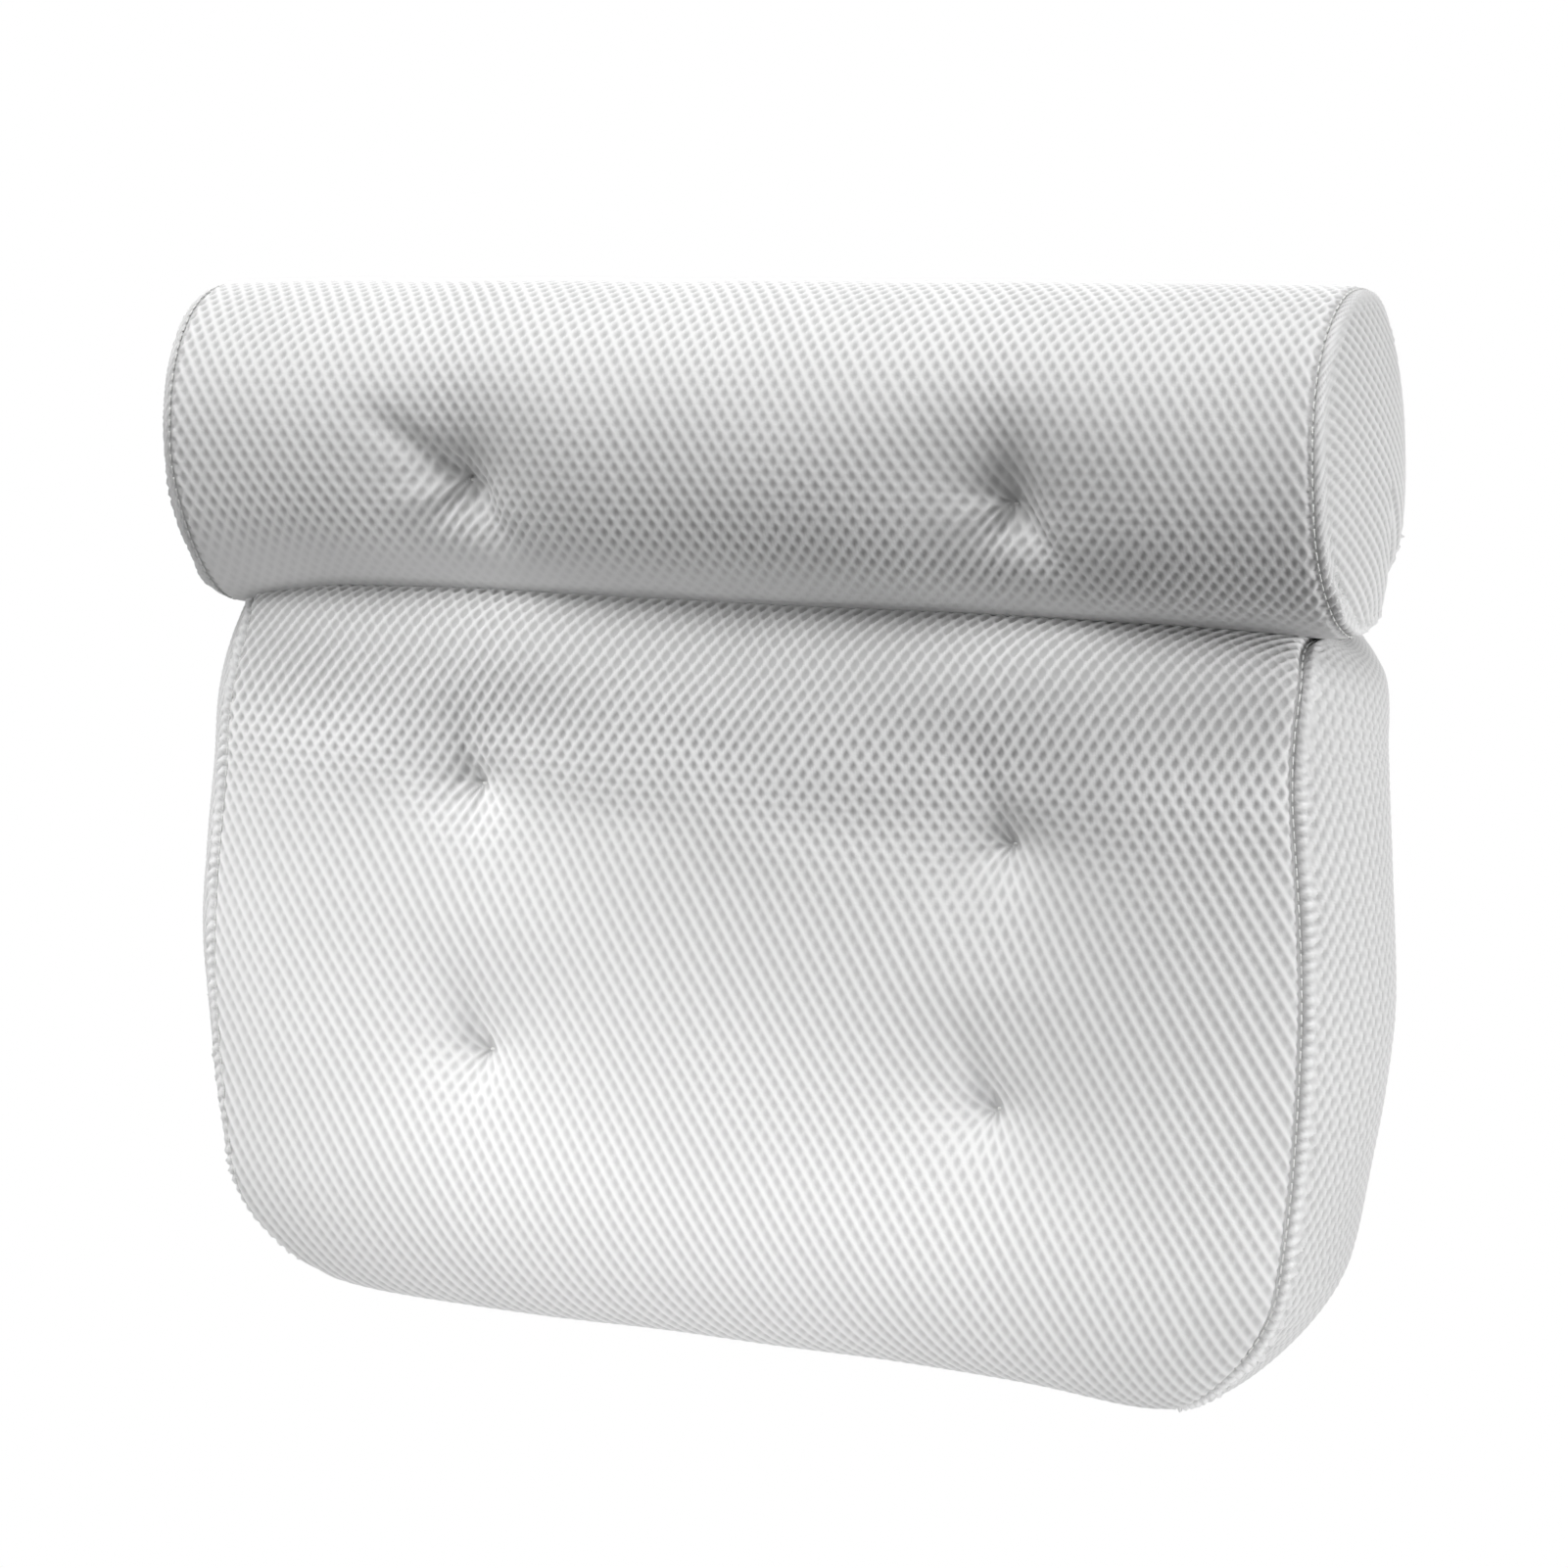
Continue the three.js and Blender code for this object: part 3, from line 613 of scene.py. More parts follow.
def lean(points):
    """The bolster's points, raised towards the right, with that end leaning in and the left one drooping."""
    x, y, z = points.T
    high = smoothstep(z, BOLSTER_TUFT_Z, BOLSTER_Z + BOLSTER_RADIUS_Z)
    draw = END_LEAN * high * np.maximum(0, x / BOLSTER_HALF_LENGTH) ** 3
    low = smoothstep(z, BOLSTER_Z, HINGE_Z) * smoothstep(y, HINGE_Y, BOLSTER_Y - END_LOW_FRONT)
    droop = END_DROOP * low * smoothstep(x, END_DROOP_X, -BOLSTER_HALF_LENGTH)
    tuck = END_TUCK * low * smoothstep(x, END_TUCK_X, -BOLSTER_HALF_LENGTH)
    return points + np.stack([tuck - draw, 0 * x, (BOLSTER_RISE * x - BOLSTER_SINK) * high - droop], 1)


# Objects


def linked(name, data):
    """A new object in the scene."""
    obj = bpy.data.objects.new(name, data)
    bpy.context.scene.collection.objects.link(obj)
    return obj


def solid_object(name, points, faces):
    mesh = bpy.data.meshes.new(name)
    mesh.from_pydata((np.asarray(points, float) * MM).tolist(), [], faces)
    mesh.polygons.foreach_set("use_smooth", np.ones(len(mesh.polygons), bool))
    return linked(name, mesh)


def vertex_places(obj):
    places = np.empty(len(obj.data.vertices) * 3)
    obj.data.vertices.foreach_get("co", places)
    return places.reshape(-1, 3) / MM


def placed(obj, body, slot, material, *nodes, fill=None):
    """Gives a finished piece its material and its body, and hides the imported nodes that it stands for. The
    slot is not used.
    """
    obj.data.materials.clear()
    obj.data.materials.append(material)
    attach(obj, body)
    if nodes:
        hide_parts(*nodes)
    return obj


def grid_quads(ids):
    """Four corners of each cell of a grid of numbers."""
    return np.stack([ids[:-1, :-1], ids[1:, :-1], ids[1:, 1:], ids[:-1, 1:]], 2).reshape(-1, 4)


def ring_points(x, y, z):
    """Places on a tube, ring after ring, from coordinates that fill one grid together."""
    return np.stack(np.broadcast_arrays(x, y, z), 2).reshape(-1, 3)


def ring_faces(rows, columns, closed=False, start=0):
    """Quads of a tube whose columns go round, with a cap at each end unless its rows go round too."""
    ids = start + np.arange(rows * columns).reshape(rows, columns)
    caps = [] if closed else [ids[0].tolist(), ids[-1, ::-1].tolist()]
    return grid_quads(np.pad(ids, ((0, int(closed)), (0, 1)), mode="wrap")).tolist() + caps


# Cloth


def weld(grids):
    """Shared points of several grids, the places of each grid's points among them, and the faces."""
    every = np.concatenate([grid.reshape(-1, 3) for grid in grids.values()])
    keys = np.round(every, 3) + 0.0
    _, first, inverse = np.unique(keys, axis=0, return_index=True, return_inverse=True)
    ids, faces, start = {}, [], 0
    for name, grid in grids.items():
        rows, columns = grid.shape[:2]
        ids[name] = inverse[start:start + rows * columns].reshape(rows, columns)
        start += rows * columns
        for quad in grid_quads(ids[name]).tolist():
            face = list(dict.fromkeys(quad))
            if len(face) > 2:
                faces.append(face)
    return every[first], ids, faces


def face_vectors(points, faces):
    """Normal of each face, as long as the face is large."""
    corners = [points[[face[k % len(face)] for face in faces]] for k in (0, 1, 2, -1)]
    return np.cross(corners[2] - corners[0], corners[3] - corners[1])


def vertex_normals(points, faces):
    across = face_vectors(points, faces)
    normals = np.zeros_like(points)
    corners = [(point, number) for number, face in enumerate(faces) for point in face]
    held, numbers = np.array(corners).T
    np.add.at(normals, held, across[numbers])
    return unit(normals)


def inflate(name, points, faces, hold, cap):
    """The cover filled out by pressure as cloth, held by the weights in hold, moving a cap at most."""
    cover = solid_object(name, points, faces)
    group = cover.vertex_groups.new(name="held")
    for index, weight in enumerate(hold):
        if weight > 0:
            group.add([index], float(weight), "REPLACE")
    cloth = cover.modifiers.new("cloth", "CLOTH")
    for key, value in CLOTH.items():
        setattr(cloth.settings, key, value)
    cloth.settings.effector_weights.gravity = 0
    cloth.point_cache.frame_start, cloth.point_cache.frame_end = 1, SETTLE_FRAMES
    scene = bpy.context.scene
    for step in range(1, SETTLE_FRAMES + 1):
        scene.frame_set(step)
    moved = vertex_places(cover.evaluated_get(bpy.context.evaluated_depsgraph_get()))
    scene.frame_set(1)
    bpy.data.objects.remove(cover)
    shift = moved - points
    size = np.linalg.norm(shift, axis=1)[:, None]
    shift *= np.where(size > 0, cap * np.tanh(size / cap) / np.maximum(size, 1e-9), 0)
    return points + relaxed(shift, faces)


def relaxed(values, faces):
    """Values at the cover's points, each drawn towards its neighbours to calm the coarse grid."""
    pairs = np.array([(f[k], f[(k + 1) % len(f)]) for f in faces for k in range(len(f))])
    pairs = np.unique(np.sort(pairs, axis=1), axis=0)
    for _ in range(2):
        total, count = values.copy(), np.ones((len(values), 1))
        for a, b in ((0, 1), (1, 0)):
            np.add.at(total, pairs[:, a], values[pairs[:, b]])
            np.add.at(count, pairs[:, a], 1)
        values = total / count
    return values


class Cover:
    """A cover's coarse panels, welded along their seams, settled in place and filled out."""

    def __init__(self, body, grids, places, settle, swell, seam, fill):
        self.body, self.places, self.seam, self.fill = body, places, seam, fill
        self.base, self.ids, self.faces = weld(grids)
        points = settle(self.base)
        centre = points.mean(0)
        outward = face_vectors(points, self.faces) * (points[[f[0] for f in self.faces]] - centre)
        if outward.sum() < 0:
            self.faces = [face[::-1] for face in self.faces]
        hold = np.zeros(len(points))
        for place in places:
            hold[tuft_distance(place, points) < TUFT_FLAT + COARSE_STEP / 2] = 1
        for ids in self.ids.values():
            for edge in (ids[0], ids[-1], ids[:, 0], ids[:, -1]):
                if len(set(edge.tolist())) > 1:
                    hold[edge] = np.maximum(hold[edge], SEAM_HOLD)
        hold[self.ids["front"][0]] = 1
        self.points = inflate(f"{body}_cover_simulated", points, self.faces, hold, swell)
        self.normals = vertex_normals(self.points, self.faces)

    def panel(self, name):
        """Filled-out places, normals and first places of one panel's coarse grid."""
        ids = self.ids[name]
        return self.points[ids], self.normals[ids], self.base[ids]


# The net


def wander(u, v, seed, size, reach):
    """A slow drift over the cloth, a few waves in different directions."""
    rng = np.random.default_rng(seed)
    total = 0
    for _ in range(DRIFT_WAVES):
        turn, phase = rng.uniform(0, 2 * math.pi, 2)
        scale = reach * rng.uniform(0.7, 1.5)
        total = total + np.sin((u * math.cos(turn) + v * math.sin(turn)) * 2 * math.pi / scale + phase)
    return size * total / DRIFT_WAVES


def even_net(u, v):
    """Extra pull, contrast and shade of a net that is the same all over its panel."""
    return 0, PLAIN_CONTRAST, 0


def turned_net(u, v):
    """Extra pull, contrast and shade of a panel whose cloth was cut the other way round."""
    return TURNED_PULL - TENSION, TURNED_CONTRAST, 0


def crease_net(down):
    """Extra pull, contrast and painted shade of the cushion's net, at distances down from its shoulder;
    inside the crease the painted shade turns to painted light.
    """
    near = bell(np.maximum(0, down), CREASE_REACH)
    inside = 1 - smoothstep(down, *CREASE_GLOW_SPAN)
    # painted shadow of the bolster on the shoulder, and painted light inside the crease
    shaded = bell(np.maximum(0, down - CREASE_SHADE_TOP), CREASE_SHADE_REACH) * (1 - inside)
    contrast = CREASE_CONTRAST[0] + CREASE_CONTRAST[1] * near
    return CREASE_TENSION * near, contrast, CREASE_SHADE * shaded - CREASE_GLOW * inside


def under_net(u, past_row, past_lowest):
    """Extra pull, contrast and painted shade of the bolster's net, past the tufts' row and past its lowest
    line, where it is negative: painted light.
    """
    top, under = smoothstep(past_row, *OPEN_ABOVE), smoothstep(past_row, *OPEN_BELOW)
    right = smoothstep(u, 0, BOLSTER_HALF_LENGTH)
    left = smoothstep(u, PRESSED_LEFT_X, -BOLSTER_HALF_LENGTH)
    line = PRESSED_LINE + PRESSED_LEAN[0] * right - PRESSED_LEAN[1] * left
    seen = smoothstep(past_lowest, *IN_SIGHT)
    pressed = smoothstep(past_lowest - line, *PRESSED_SPAN) * seen
    pull, contrast = (
        plain + above * top + below * under for plain, above, below in (OPEN_PULL, OPEN_CONTRAST))
    # painted light near the lowest line, against the dark of the crease
    glow = UNDER_GLOW * smoothstep(past_lowest, *UNDER_GLOW_SPAN) * seen
    return pull, contrast * (1 - PRESSED_SHARE * pressed), -glow


def net_height(u, v, tension):
    """The diamond net, from 0 in a hole to 1 on a strand. Tension lifts one family over the other."""
    holes = 1
    for side in (1, -1):
        share = np.minimum(1, np.exp(side * 2 * tension))
        wave = 0.5 + 0.5 * np.cos(2 * math.pi * (u / CELL_WIDTH + side * v / CELL_HEIGHT))
        holes = holes * (1 - share * wave ** (3.0 - 1.4 * share))
    return 1 - holes


def gathered(u, v, tufts):
    """Cloth coordinates drawn in at the tufts, the pull along both families of strands, and the creases."""
    shift_u, shift_v, tension, creases = 0, 0, 0, 0
    for tuft_u, tuft_v, _ in tufts:
        across, along = u - tuft_u, v - tuft_v
        out = np.maximum(np.hypot(across, along), 1e-6)
        turn = np.arctan2(along, across)
        lobe = 0.5 + 0.5 * np.cos(turn - GATHER_TURN)
        more = GATHER * (0.35 + 0.65 * lobe) * np.exp(-out / GATHER_REACH)
        shift_u = shift_u + across / out * more
        shift_v = shift_v + along / out * more
        tension = tension + GATHER_PULL * lobe**2 * bell(out, GATHER_PULL_REACH)
        tension = tension - GATHER_SLACK * np.exp(-out / GATHER_SLACK_REACH)
        near = bell(out, GATHER_REACH) * (1 - bell(out, CREASE_START))
        phase = 0.7 * math.copysign(1, tuft_u)
        creases = creases + lobe * near * np.sin(CREASES_ROUND_TUFT * turn + phase + tuft_v)
    return u + shift_u, v + shift_v, tension, creases


def tuft_relief(across, along, folds):
    """Depth of a tuft's narrow pit and of the folds that run out of it."""
    relief = -PIT_DEPTH * np.exp(-np.hypot(across, along) / PIT_REACH)
    for end_across, end_along, depth, width in folds:
        length = math.hypot(end_across, end_along)
        along_fold = (across * end_across + along * end_along) / length
        beside = (across * end_along - along * end_across) / length
        fade_out = [share * length for share in FOLD_FADE_SHARES]
        fade = smoothstep(along_fold, *FOLD_START) * (1 - smoothstep(along_fold, *fade_out))
        relief -= depth * fade * bell(beside, width * (0.6 + 0.4 * along_fold / length))
    return relief


# Seams


def seam_strength(points):
    """Seams are lumpier low on the bolster's ends and round the cushion's lower right corner."""
    x, y, z = points[:, :, 0], points[:, :, 1], points[:, :, 2]
    low = smoothstep(z, BOLSTER_Z, HINGE_Z + BOLSTER_LUMPS_ABOVE_HINGE)
    corner = smoothstep(z, CORNER_LUMPS_Z, SEAM_BOTTOM_Z) * smoothstep(x, *CORNER_LUMPS_X)
    corner = corner * smoothstep(y, *CORNER_LUMPS_Y)
    bolster, cushion = BOLSTER_LUMPS[0] + BOLSTER_LUMPS[1] * low, CORNER_LUMPS[0] + CORNER_LUMPS[1] * corner
    return np.where(z > HINGE_Z, bolster, cushion)


def slow_wave(along, size, length, start):
    return size * np.sin(along / length + start)


def seam_relief(edge, along, beaded, seam, strength):
    """Height, net value and share of the net left beside a seam, with gathers along its beaded side."""
    depth, dark, gather = seam
    shift = slow_wave(along, *STITCH_DRIFT)
    lump = np.cos(2 * math.pi * (along + shift) / SEAM_PITCH + (0 if beaded else math.pi))
    sway = 0.3 * lump + slow_wave(along, *SEAM_SWAY)
    rows = NEEDLE_HOLES, NEAR_GATHERS, FAR_GATHERS
    holes, near, far = (bell(edge - place, width) for place, width in rows)
    needle = np.maximum(0, -lump) ** 2 * holes
    height = -depth * bell(edge, SEAM_WIDTH) - 0.4 * needle
    value = 0.7 - dark * bell(edge + sway, SEAM_WIDTH) - 0.6 * needle
    if not beaded:
        return height, value, smoothstep(edge, *PLAIN_MARGIN)
    long_wave, short_wave = (slow_wave(along, *wave) for wave in UNEVEN_WAVES)
    uneven = (1 + long_wave + short_wave) * strength
    second = np.cos(2 * math.pi * (along - shift) / SEAM_PITCH + 2.4 + slow_wave(along, *FAR_WAVE))
    beads = near * (0.25 + 0.75 * lump) + far * 0.75 * second
    height += gather * uneven * beads
    value += 0.6 * np.minimum(uneven, 1.5) * beads
    return height, value, smoothstep(edge, *GATHERED_MARGIN)


def edge_places(points):
    """For each edge of a grid, the distance of each point from it and along it."""
    down = lengths_along(points)
    across = np.swapaxes(lengths_along(np.swapaxes(points, 0, 1)), 0, 1)
    return {
        "top": (down, across), "bottom": (down[-1:] - down, across),
        "left": (across, down), "right": (across[:, -1:] - across, down),
    }


# Fine panels


def graded_places(length, step, spots, reach):
    """Distances from 0 to length, a step apart, and closer together at the spots."""
    along = np.linspace(0, length, 4000)
    size = np.full_like(along, step)
    for spot in spots:
        size = np.minimum(size, step - (step - FINE_STEP) * bell(along - spot, reach))
    steps = np.concatenate([[0], np.cumsum((1 / size[1:] + 1 / size[:-1]) / 2 * np.diff(along))])
    return np.interp(np.linspace(0, steps[-1], round(steps[-1]) + 1), steps, along)


def sampled(grid, rows, columns):
    """A coarse grid of values, read at fractional rows and columns."""
    by_row, by_column = cubic_weights(rows, grid.shape[0]), cubic_weights(columns, grid.shape[1])
    return np.stack([by_row @ grid[:, :, k] @ by_column.T for k in range(grid.shape[2])], 2)


def bake_places(points):
    """The grid laid out flat in a square, spaced as its middle column and an upper row are."""
    down = middle_lengths(points)
    across = lengths_along(points[len(points) // 3])
    v, u = np.meshgrid(down / down[-1], across / across[-1], indexing="ij")
    return np.stack([u, v], 2).reshape(-1, 2) * (1 - 2 * BAKE_MARGIN) + BAKE_MARGIN


def sheet_object(name, points, core, cloth, net):
    """A mesh from a grid of places, facing away from a core, with its cloth coordinates, bake map and net."""
    rows, columns = points.shape[:2]
    quads = grid_quads(np.arange(rows * columns).reshape(rows, columns))
    middle = points[rows // 2, columns // 2]
    around = points[rows // 2 + 1, columns // 2], points[rows // 2, columns // 2 + 1]
    normal = np.cross(around[0] - middle, around[1] - middle)
    if np.dot(normal, middle - core) < 0:
        quads = quads[:, ::-1]
    loops = quads.ravel()
    mesh = bpy.data.meshes.new(name)
    mesh.vertices.add(rows * columns)
    mesh.vertices.foreach_set("co", (points * MM).astype(np.float32).ravel())
    mesh.loops.add(len(loops))
    mesh.loops.foreach_set("vertex_index", loops.astype(np.int32))
    mesh.polygons.add(len(quads))
    mesh.polygons.foreach_set("loop_start", np.arange(0, len(loops), 4, dtype=np.int32))
    mesh.update(calc_edges=True)
    for layer, values in (("OFBake", bake_places(points)), ("cloth", cloth.reshape(-1, 2) * MM)):
        uv = mesh.uv_layers.new(name=layer)
        uv.uv.foreach_set("vector", values[loops].astype(np.float32).ravel())
    # the net value carries painted shade and painted light along with the net's pattern
    attribute = mesh.attributes.new("net", "FLOAT", "POINT")
    attribute.data.foreach_set("value", net.ravel().astype(np.float32))
    mesh.polygons.foreach_set("use_smooth", np.ones(len(quads), bool))
    mesh.update()
    return linked(name, mesh)


def fine_panel(name, cover, panel, node, step, spots, cloth_of, seams, tufts=(), net_of=even_net):
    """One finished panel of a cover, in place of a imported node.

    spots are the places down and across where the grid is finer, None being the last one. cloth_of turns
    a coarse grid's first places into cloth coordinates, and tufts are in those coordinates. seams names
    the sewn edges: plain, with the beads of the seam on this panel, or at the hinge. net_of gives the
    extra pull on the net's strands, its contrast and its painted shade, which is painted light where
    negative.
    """
    places, normals, base = cover.panel(panel)
    at = []
    for k, reach in enumerate((TUFT_STEP_REACH, SEAM_STEP_REACH)):
        along = (middle_lengths(base), lengths_along(base[len(base) // 2]))[k]
        near = [along[-1] if spot is None else spot for spot in spots[k]]
        at.append(np.interp(graded_places(along[-1], step, near, reach), along, np.arange(len(along))))
    points, lift, cloth = (sampled(grid, *at) for grid in (places, normals, cloth_of(base)))
    u, v = cloth[:, :, 0], cloth[:, :, 1]
    u_net, v_net, tension, creases = gathered(u, v, tufts)
    drift_u, drift_v, drift_tension, drift_height = (wander(u, v, *drift) for drift in DRIFTS)
    pull, contrast, shade = net_of(u, v)
    net = net_height(u_net + drift_u + LEAN * v, v_net + drift_v, tension + TENSION + drift_tension + pull)
    height = STRAND_RELIEF * (net - 0.5) + drift_height + CREASE_HEIGHT * creases
    height *= np.minimum(1, contrast)
    # shade paints shade into the net's tone, and paints light where it is negative
    net = NET_MEAN + contrast * (net - NET_MEAN) - shade
    for tuft_u, tuft_v, place in tufts:
        across, along = u - tuft_u, v - tuft_v
        height += tuft_relief(across, along, FOLDS[place])
        # painted shade in each tuft's pit
        out_squared = across**2 + PIT_SHADE_STRETCH * (along + PIT_SHADE_LIFT) ** 2
        net -= PIT_PAINTED_SHADE * np.exp(-out_squared / PIT_SHADE_REACH**2)
    edges, strength = edge_places(points), seam_strength(points)
    nearest = np.full(u.shape, 1e9)
    beside = np.zeros(u.shape), np.zeros(u.shape), np.ones(u.shape)
    for edge, kind in seams.items():
        away, along = edges[edge]
        seam = HINGE_SEAM if kind == "hinge" else cover.seam
        here = seam_relief(away, along, kind == "beaded", seam, strength)
        beside = [np.where(away < nearest, new, old) for new, old in zip(here, beside)]
        nearest = np.minimum(nearest, away)
    relief, value, quiet = beside
    height = height * quiet + relief
    net = net * quiet + (1 - quiet) * value
    piece = sheet_object(name, points + unit(lift) * height[:, :, None], cover.points.mean(0), cloth, net)
    return placed(piece, cover.body, "air_mesh", AIR_MESH, node, fill=cover.fill)


# Materials


def set_values(node, values):
    for socket, value in values.items():
        node.inputs[socket].default_value = value


def add_node(tree, kind, values=None, **settings):
    """A new node, with its settings and the values of its sockets."""
    node = tree.nodes.new(kind)
    for key, value in settings.items():
        setattr(node, key, value)
    set_values(node, values or {})
    return node


def join(tree, *links):
    """Links from one node's output to another one's input, both by name or number."""
    for start, output, end, socket in links:
        tree.links.new(start.outputs[output], end.inputs[socket])


def new_material(name, values):
    """A material, its nodes and its shader, with the values of the shader's sockets."""
    material = bpy.data.materials.new(name)
    material.use_nodes = True
    shader = material.node_tree.nodes["Principled BSDF"]
    set_values(shader, values)
    return material, material.node_tree, shader


def new_group(name, kind, inputs, outputs):
    """A node group with its sockets, its input node and its output node."""
    tree = bpy.data.node_groups.new(name, kind)
    for in_out, sockets in (("INPUT", inputs), ("OUTPUT", outputs)):
        for label, value_kind in sockets.items():
            tree.interface.new_socket(label, in_out=in_out, socket_type=f"NodeSocket{value_kind}")
    return tree, tree.nodes.new("NodeGroupInput"), tree.nodes.new("NodeGroupOutput")


def grain_group():
    """Fine unevenness of a surface: a value between 0 and 1, and the normal that it gives."""
    inputs = {"Place": "Vector", "Scale": "Float", "Strength": "Float", "Depth": "Float"}
    tree, given, result = new_group(
        "fine_grain", "ShaderNodeTree", inputs, {"Value": "Float", "Normal": "Vector"})
    noise = add_node(tree, "ShaderNodeTexNoise", {"Detail": 3})
    bump = add_node(tree, "ShaderNodeBump")
    join(
        tree, (given, "Place", noise, "Vector"), (given, "Scale", noise, "Scale"),
        (given, "Strength", bump, "Strength"), (given, "Depth", bump, "Distance"),
        (noise, "Fac", bump, "Height"), (noise, "Fac", result, "Value"), (bump, "Normal", result, "Normal"),
    )
    return tree


def grained(tree, shader, scale, strength, depth, uv_map=None):
    """Sets the shared grain in a material, by the object's places or a map's, and returns its node."""
    group = bpy.data.node_groups.get("fine_grain") or grain_group()
    values = {"Scale": scale, "Strength": strength, "Depth": depth}
    grain = add_node(tree, "ShaderNodeGroup", values, node_tree=group)
    if uv_map:
        place, output = add_node(tree, "ShaderNodeUVMap", uv_map=uv_map), "UV"
    else:
        place, output = add_node(tree, "ShaderNodeTexCoord"), "Object"
    join(tree, (place, output, grain, "Place"), (grain, "Normal", shader, "Normal"))
    return grain


def air_mesh_material():
    """White air mesh: bright knitted strands over the ground that shows in the holes, whose grey is painted
    shade.
    """
    material, tree, shader = new_material("air_mesh", {"Roughness": 0.85, "Specular IOR Level": 0.25})
    net = add_node(tree, "ShaderNodeAttribute", attribute_name="net")
    ramp = add_node(tree, "ShaderNodeValToRGB")
    # The ramp's dark end is the holes' painted shade; the net value also brings painted shade and painted
    # light from the crease and the pits
    for element, place, tone in zip(ramp.color_ramp.elements, (0.05, 0.95), (0.56, 0.93)):
        element.position, element.color = place, (tone, tone, tone, 1)
    join(tree, (net, "Fac", ramp, "Fac"), (ramp, "Color", shader, "Base Color"))
    grained(tree, shader, 1500, 0.35, 0.0002, uv_map="cloth")
    return material


def fibre_material(name, colour, roughness, scale, depth):
    """Matt white fibre, a little uneven in tone."""
    material, tree, shader = new_material(name, {"Roughness": roughness})
    grain = grained(tree, shader, scale, 0.5, depth)
    tones = {6: (*[c * 0.9 for c in colour], 1), 7: (*colour, 1)}
    tint = add_node(tree, "ShaderNodeMix", tones, data_type="RGBA")
    join(tree, (grain, "Value", tint, 0), (tint, 2, shader, "Base Color"))
    return material


def vinyl_material():
    """Clear soft vinyl, a little cloudy."""
    material, tree, shader = new_material("cup_vinyl", {
        "Base Color": (0.93, 0.97, 0.98, 1), "Roughness": 0.12, "Transmission Weight": 0.88, "IOR": 1.5,
    })
    grained(tree, shader, 60, 0.12, 0.0004)
    return material


AIR_MESH = air_mesh_material()
FIBRE = fibre_material("fibre_filling", (0.9, 0.9, 0.88), 0.95, 300, 0.0005)
THREAD = fibre_material("thread", (0.82, 0.82, 0.81), 0.7, 4000, 0.0001)
VINYL = vinyl_material()


# Stuffing, threads, stitches, cups and the hinge band


def stuffing(cover):
    """The fibre filling, a closed form just inside the cover, parted where the tufts pull."""
    inward = np.full(len(cover.points), STUFFING_INSET)
    front = cover.points[:, 1] < BOLSTER_Y
    for place in cover.places:
        pull = bell(tuft_distance(place, cover.points), STUFFING_TUFT_REACH)
        inward += np.where(front, STUFFING_TUFT_INSET * pull, 0)
    return solid_object(f"{cover.body}_stuffing", cover.points - inward[:, None] * cover.normals, cover.faces)


def thread_loop(place, fabric_y):
    """One closed loop of thread: over the cloth in the pit, back through the stuffing and the cup's eye."""
    x, z = TUFTS[place]
    across_pit, up_pit = PIT_SHIFTS[place]
    front_y, eye_y = fabric_y + 0.7 * THREAD_RADIUS, CUP_EYE_Y - EYE_REACH
    corners = (
        (STITCH_HALF, front_y), (STITCH_HALF, front_y + STITCH_REACH),
        (STRAND_HALF, eye_y), (STRAND_HALF, CUP_EYE_Y),
    )
    path = np.array([*corners, *[(-across, y) for across, y in corners[::-1]]])
    for _ in range(3):
        ahead = np.roll(path, -1, axis=0)
        path = np.stack([0.75 * path + 0.25 * ahead, 0.25 * path + 0.75 * ahead], 1).reshape(-1, 2)
    ahead = unit(np.roll(path, -1, axis=0) - np.roll(path, 1, axis=0))
    turn = circle(10)
    side, depth = path[:, :1], path[:, 1:]
    pitward = np.clip((eye_y - depth) / (eye_y - front_y), 0, 1)
    points = ring_points(
        side + x + across_pit * pitward + ahead[:, 1:] * np.cos(turn) * THREAD_RADIUS,
        depth + -ahead[:, :1] * np.cos(turn) * THREAD_RADIUS,
        z + up_pit * pitward + np.sin(turn) * THREAD_RADIUS,
    )
    return solid_object(f"tie_{place}", points, ring_faces(len(path), len(turn), closed=True))


def tie(panel, cover):
    """The thread of each tuft in a finished panel, which starts at the floor of its pit."""
    places = vertex_places(panel)
    for place in cover.places:
        floor = float(places[tuft_distance(place, places) < STITCH_HALF, 1].mean())
        placed(thread_loop(place, floor), cover.body, "thread", THREAD, f"tuft_thread_{place}")


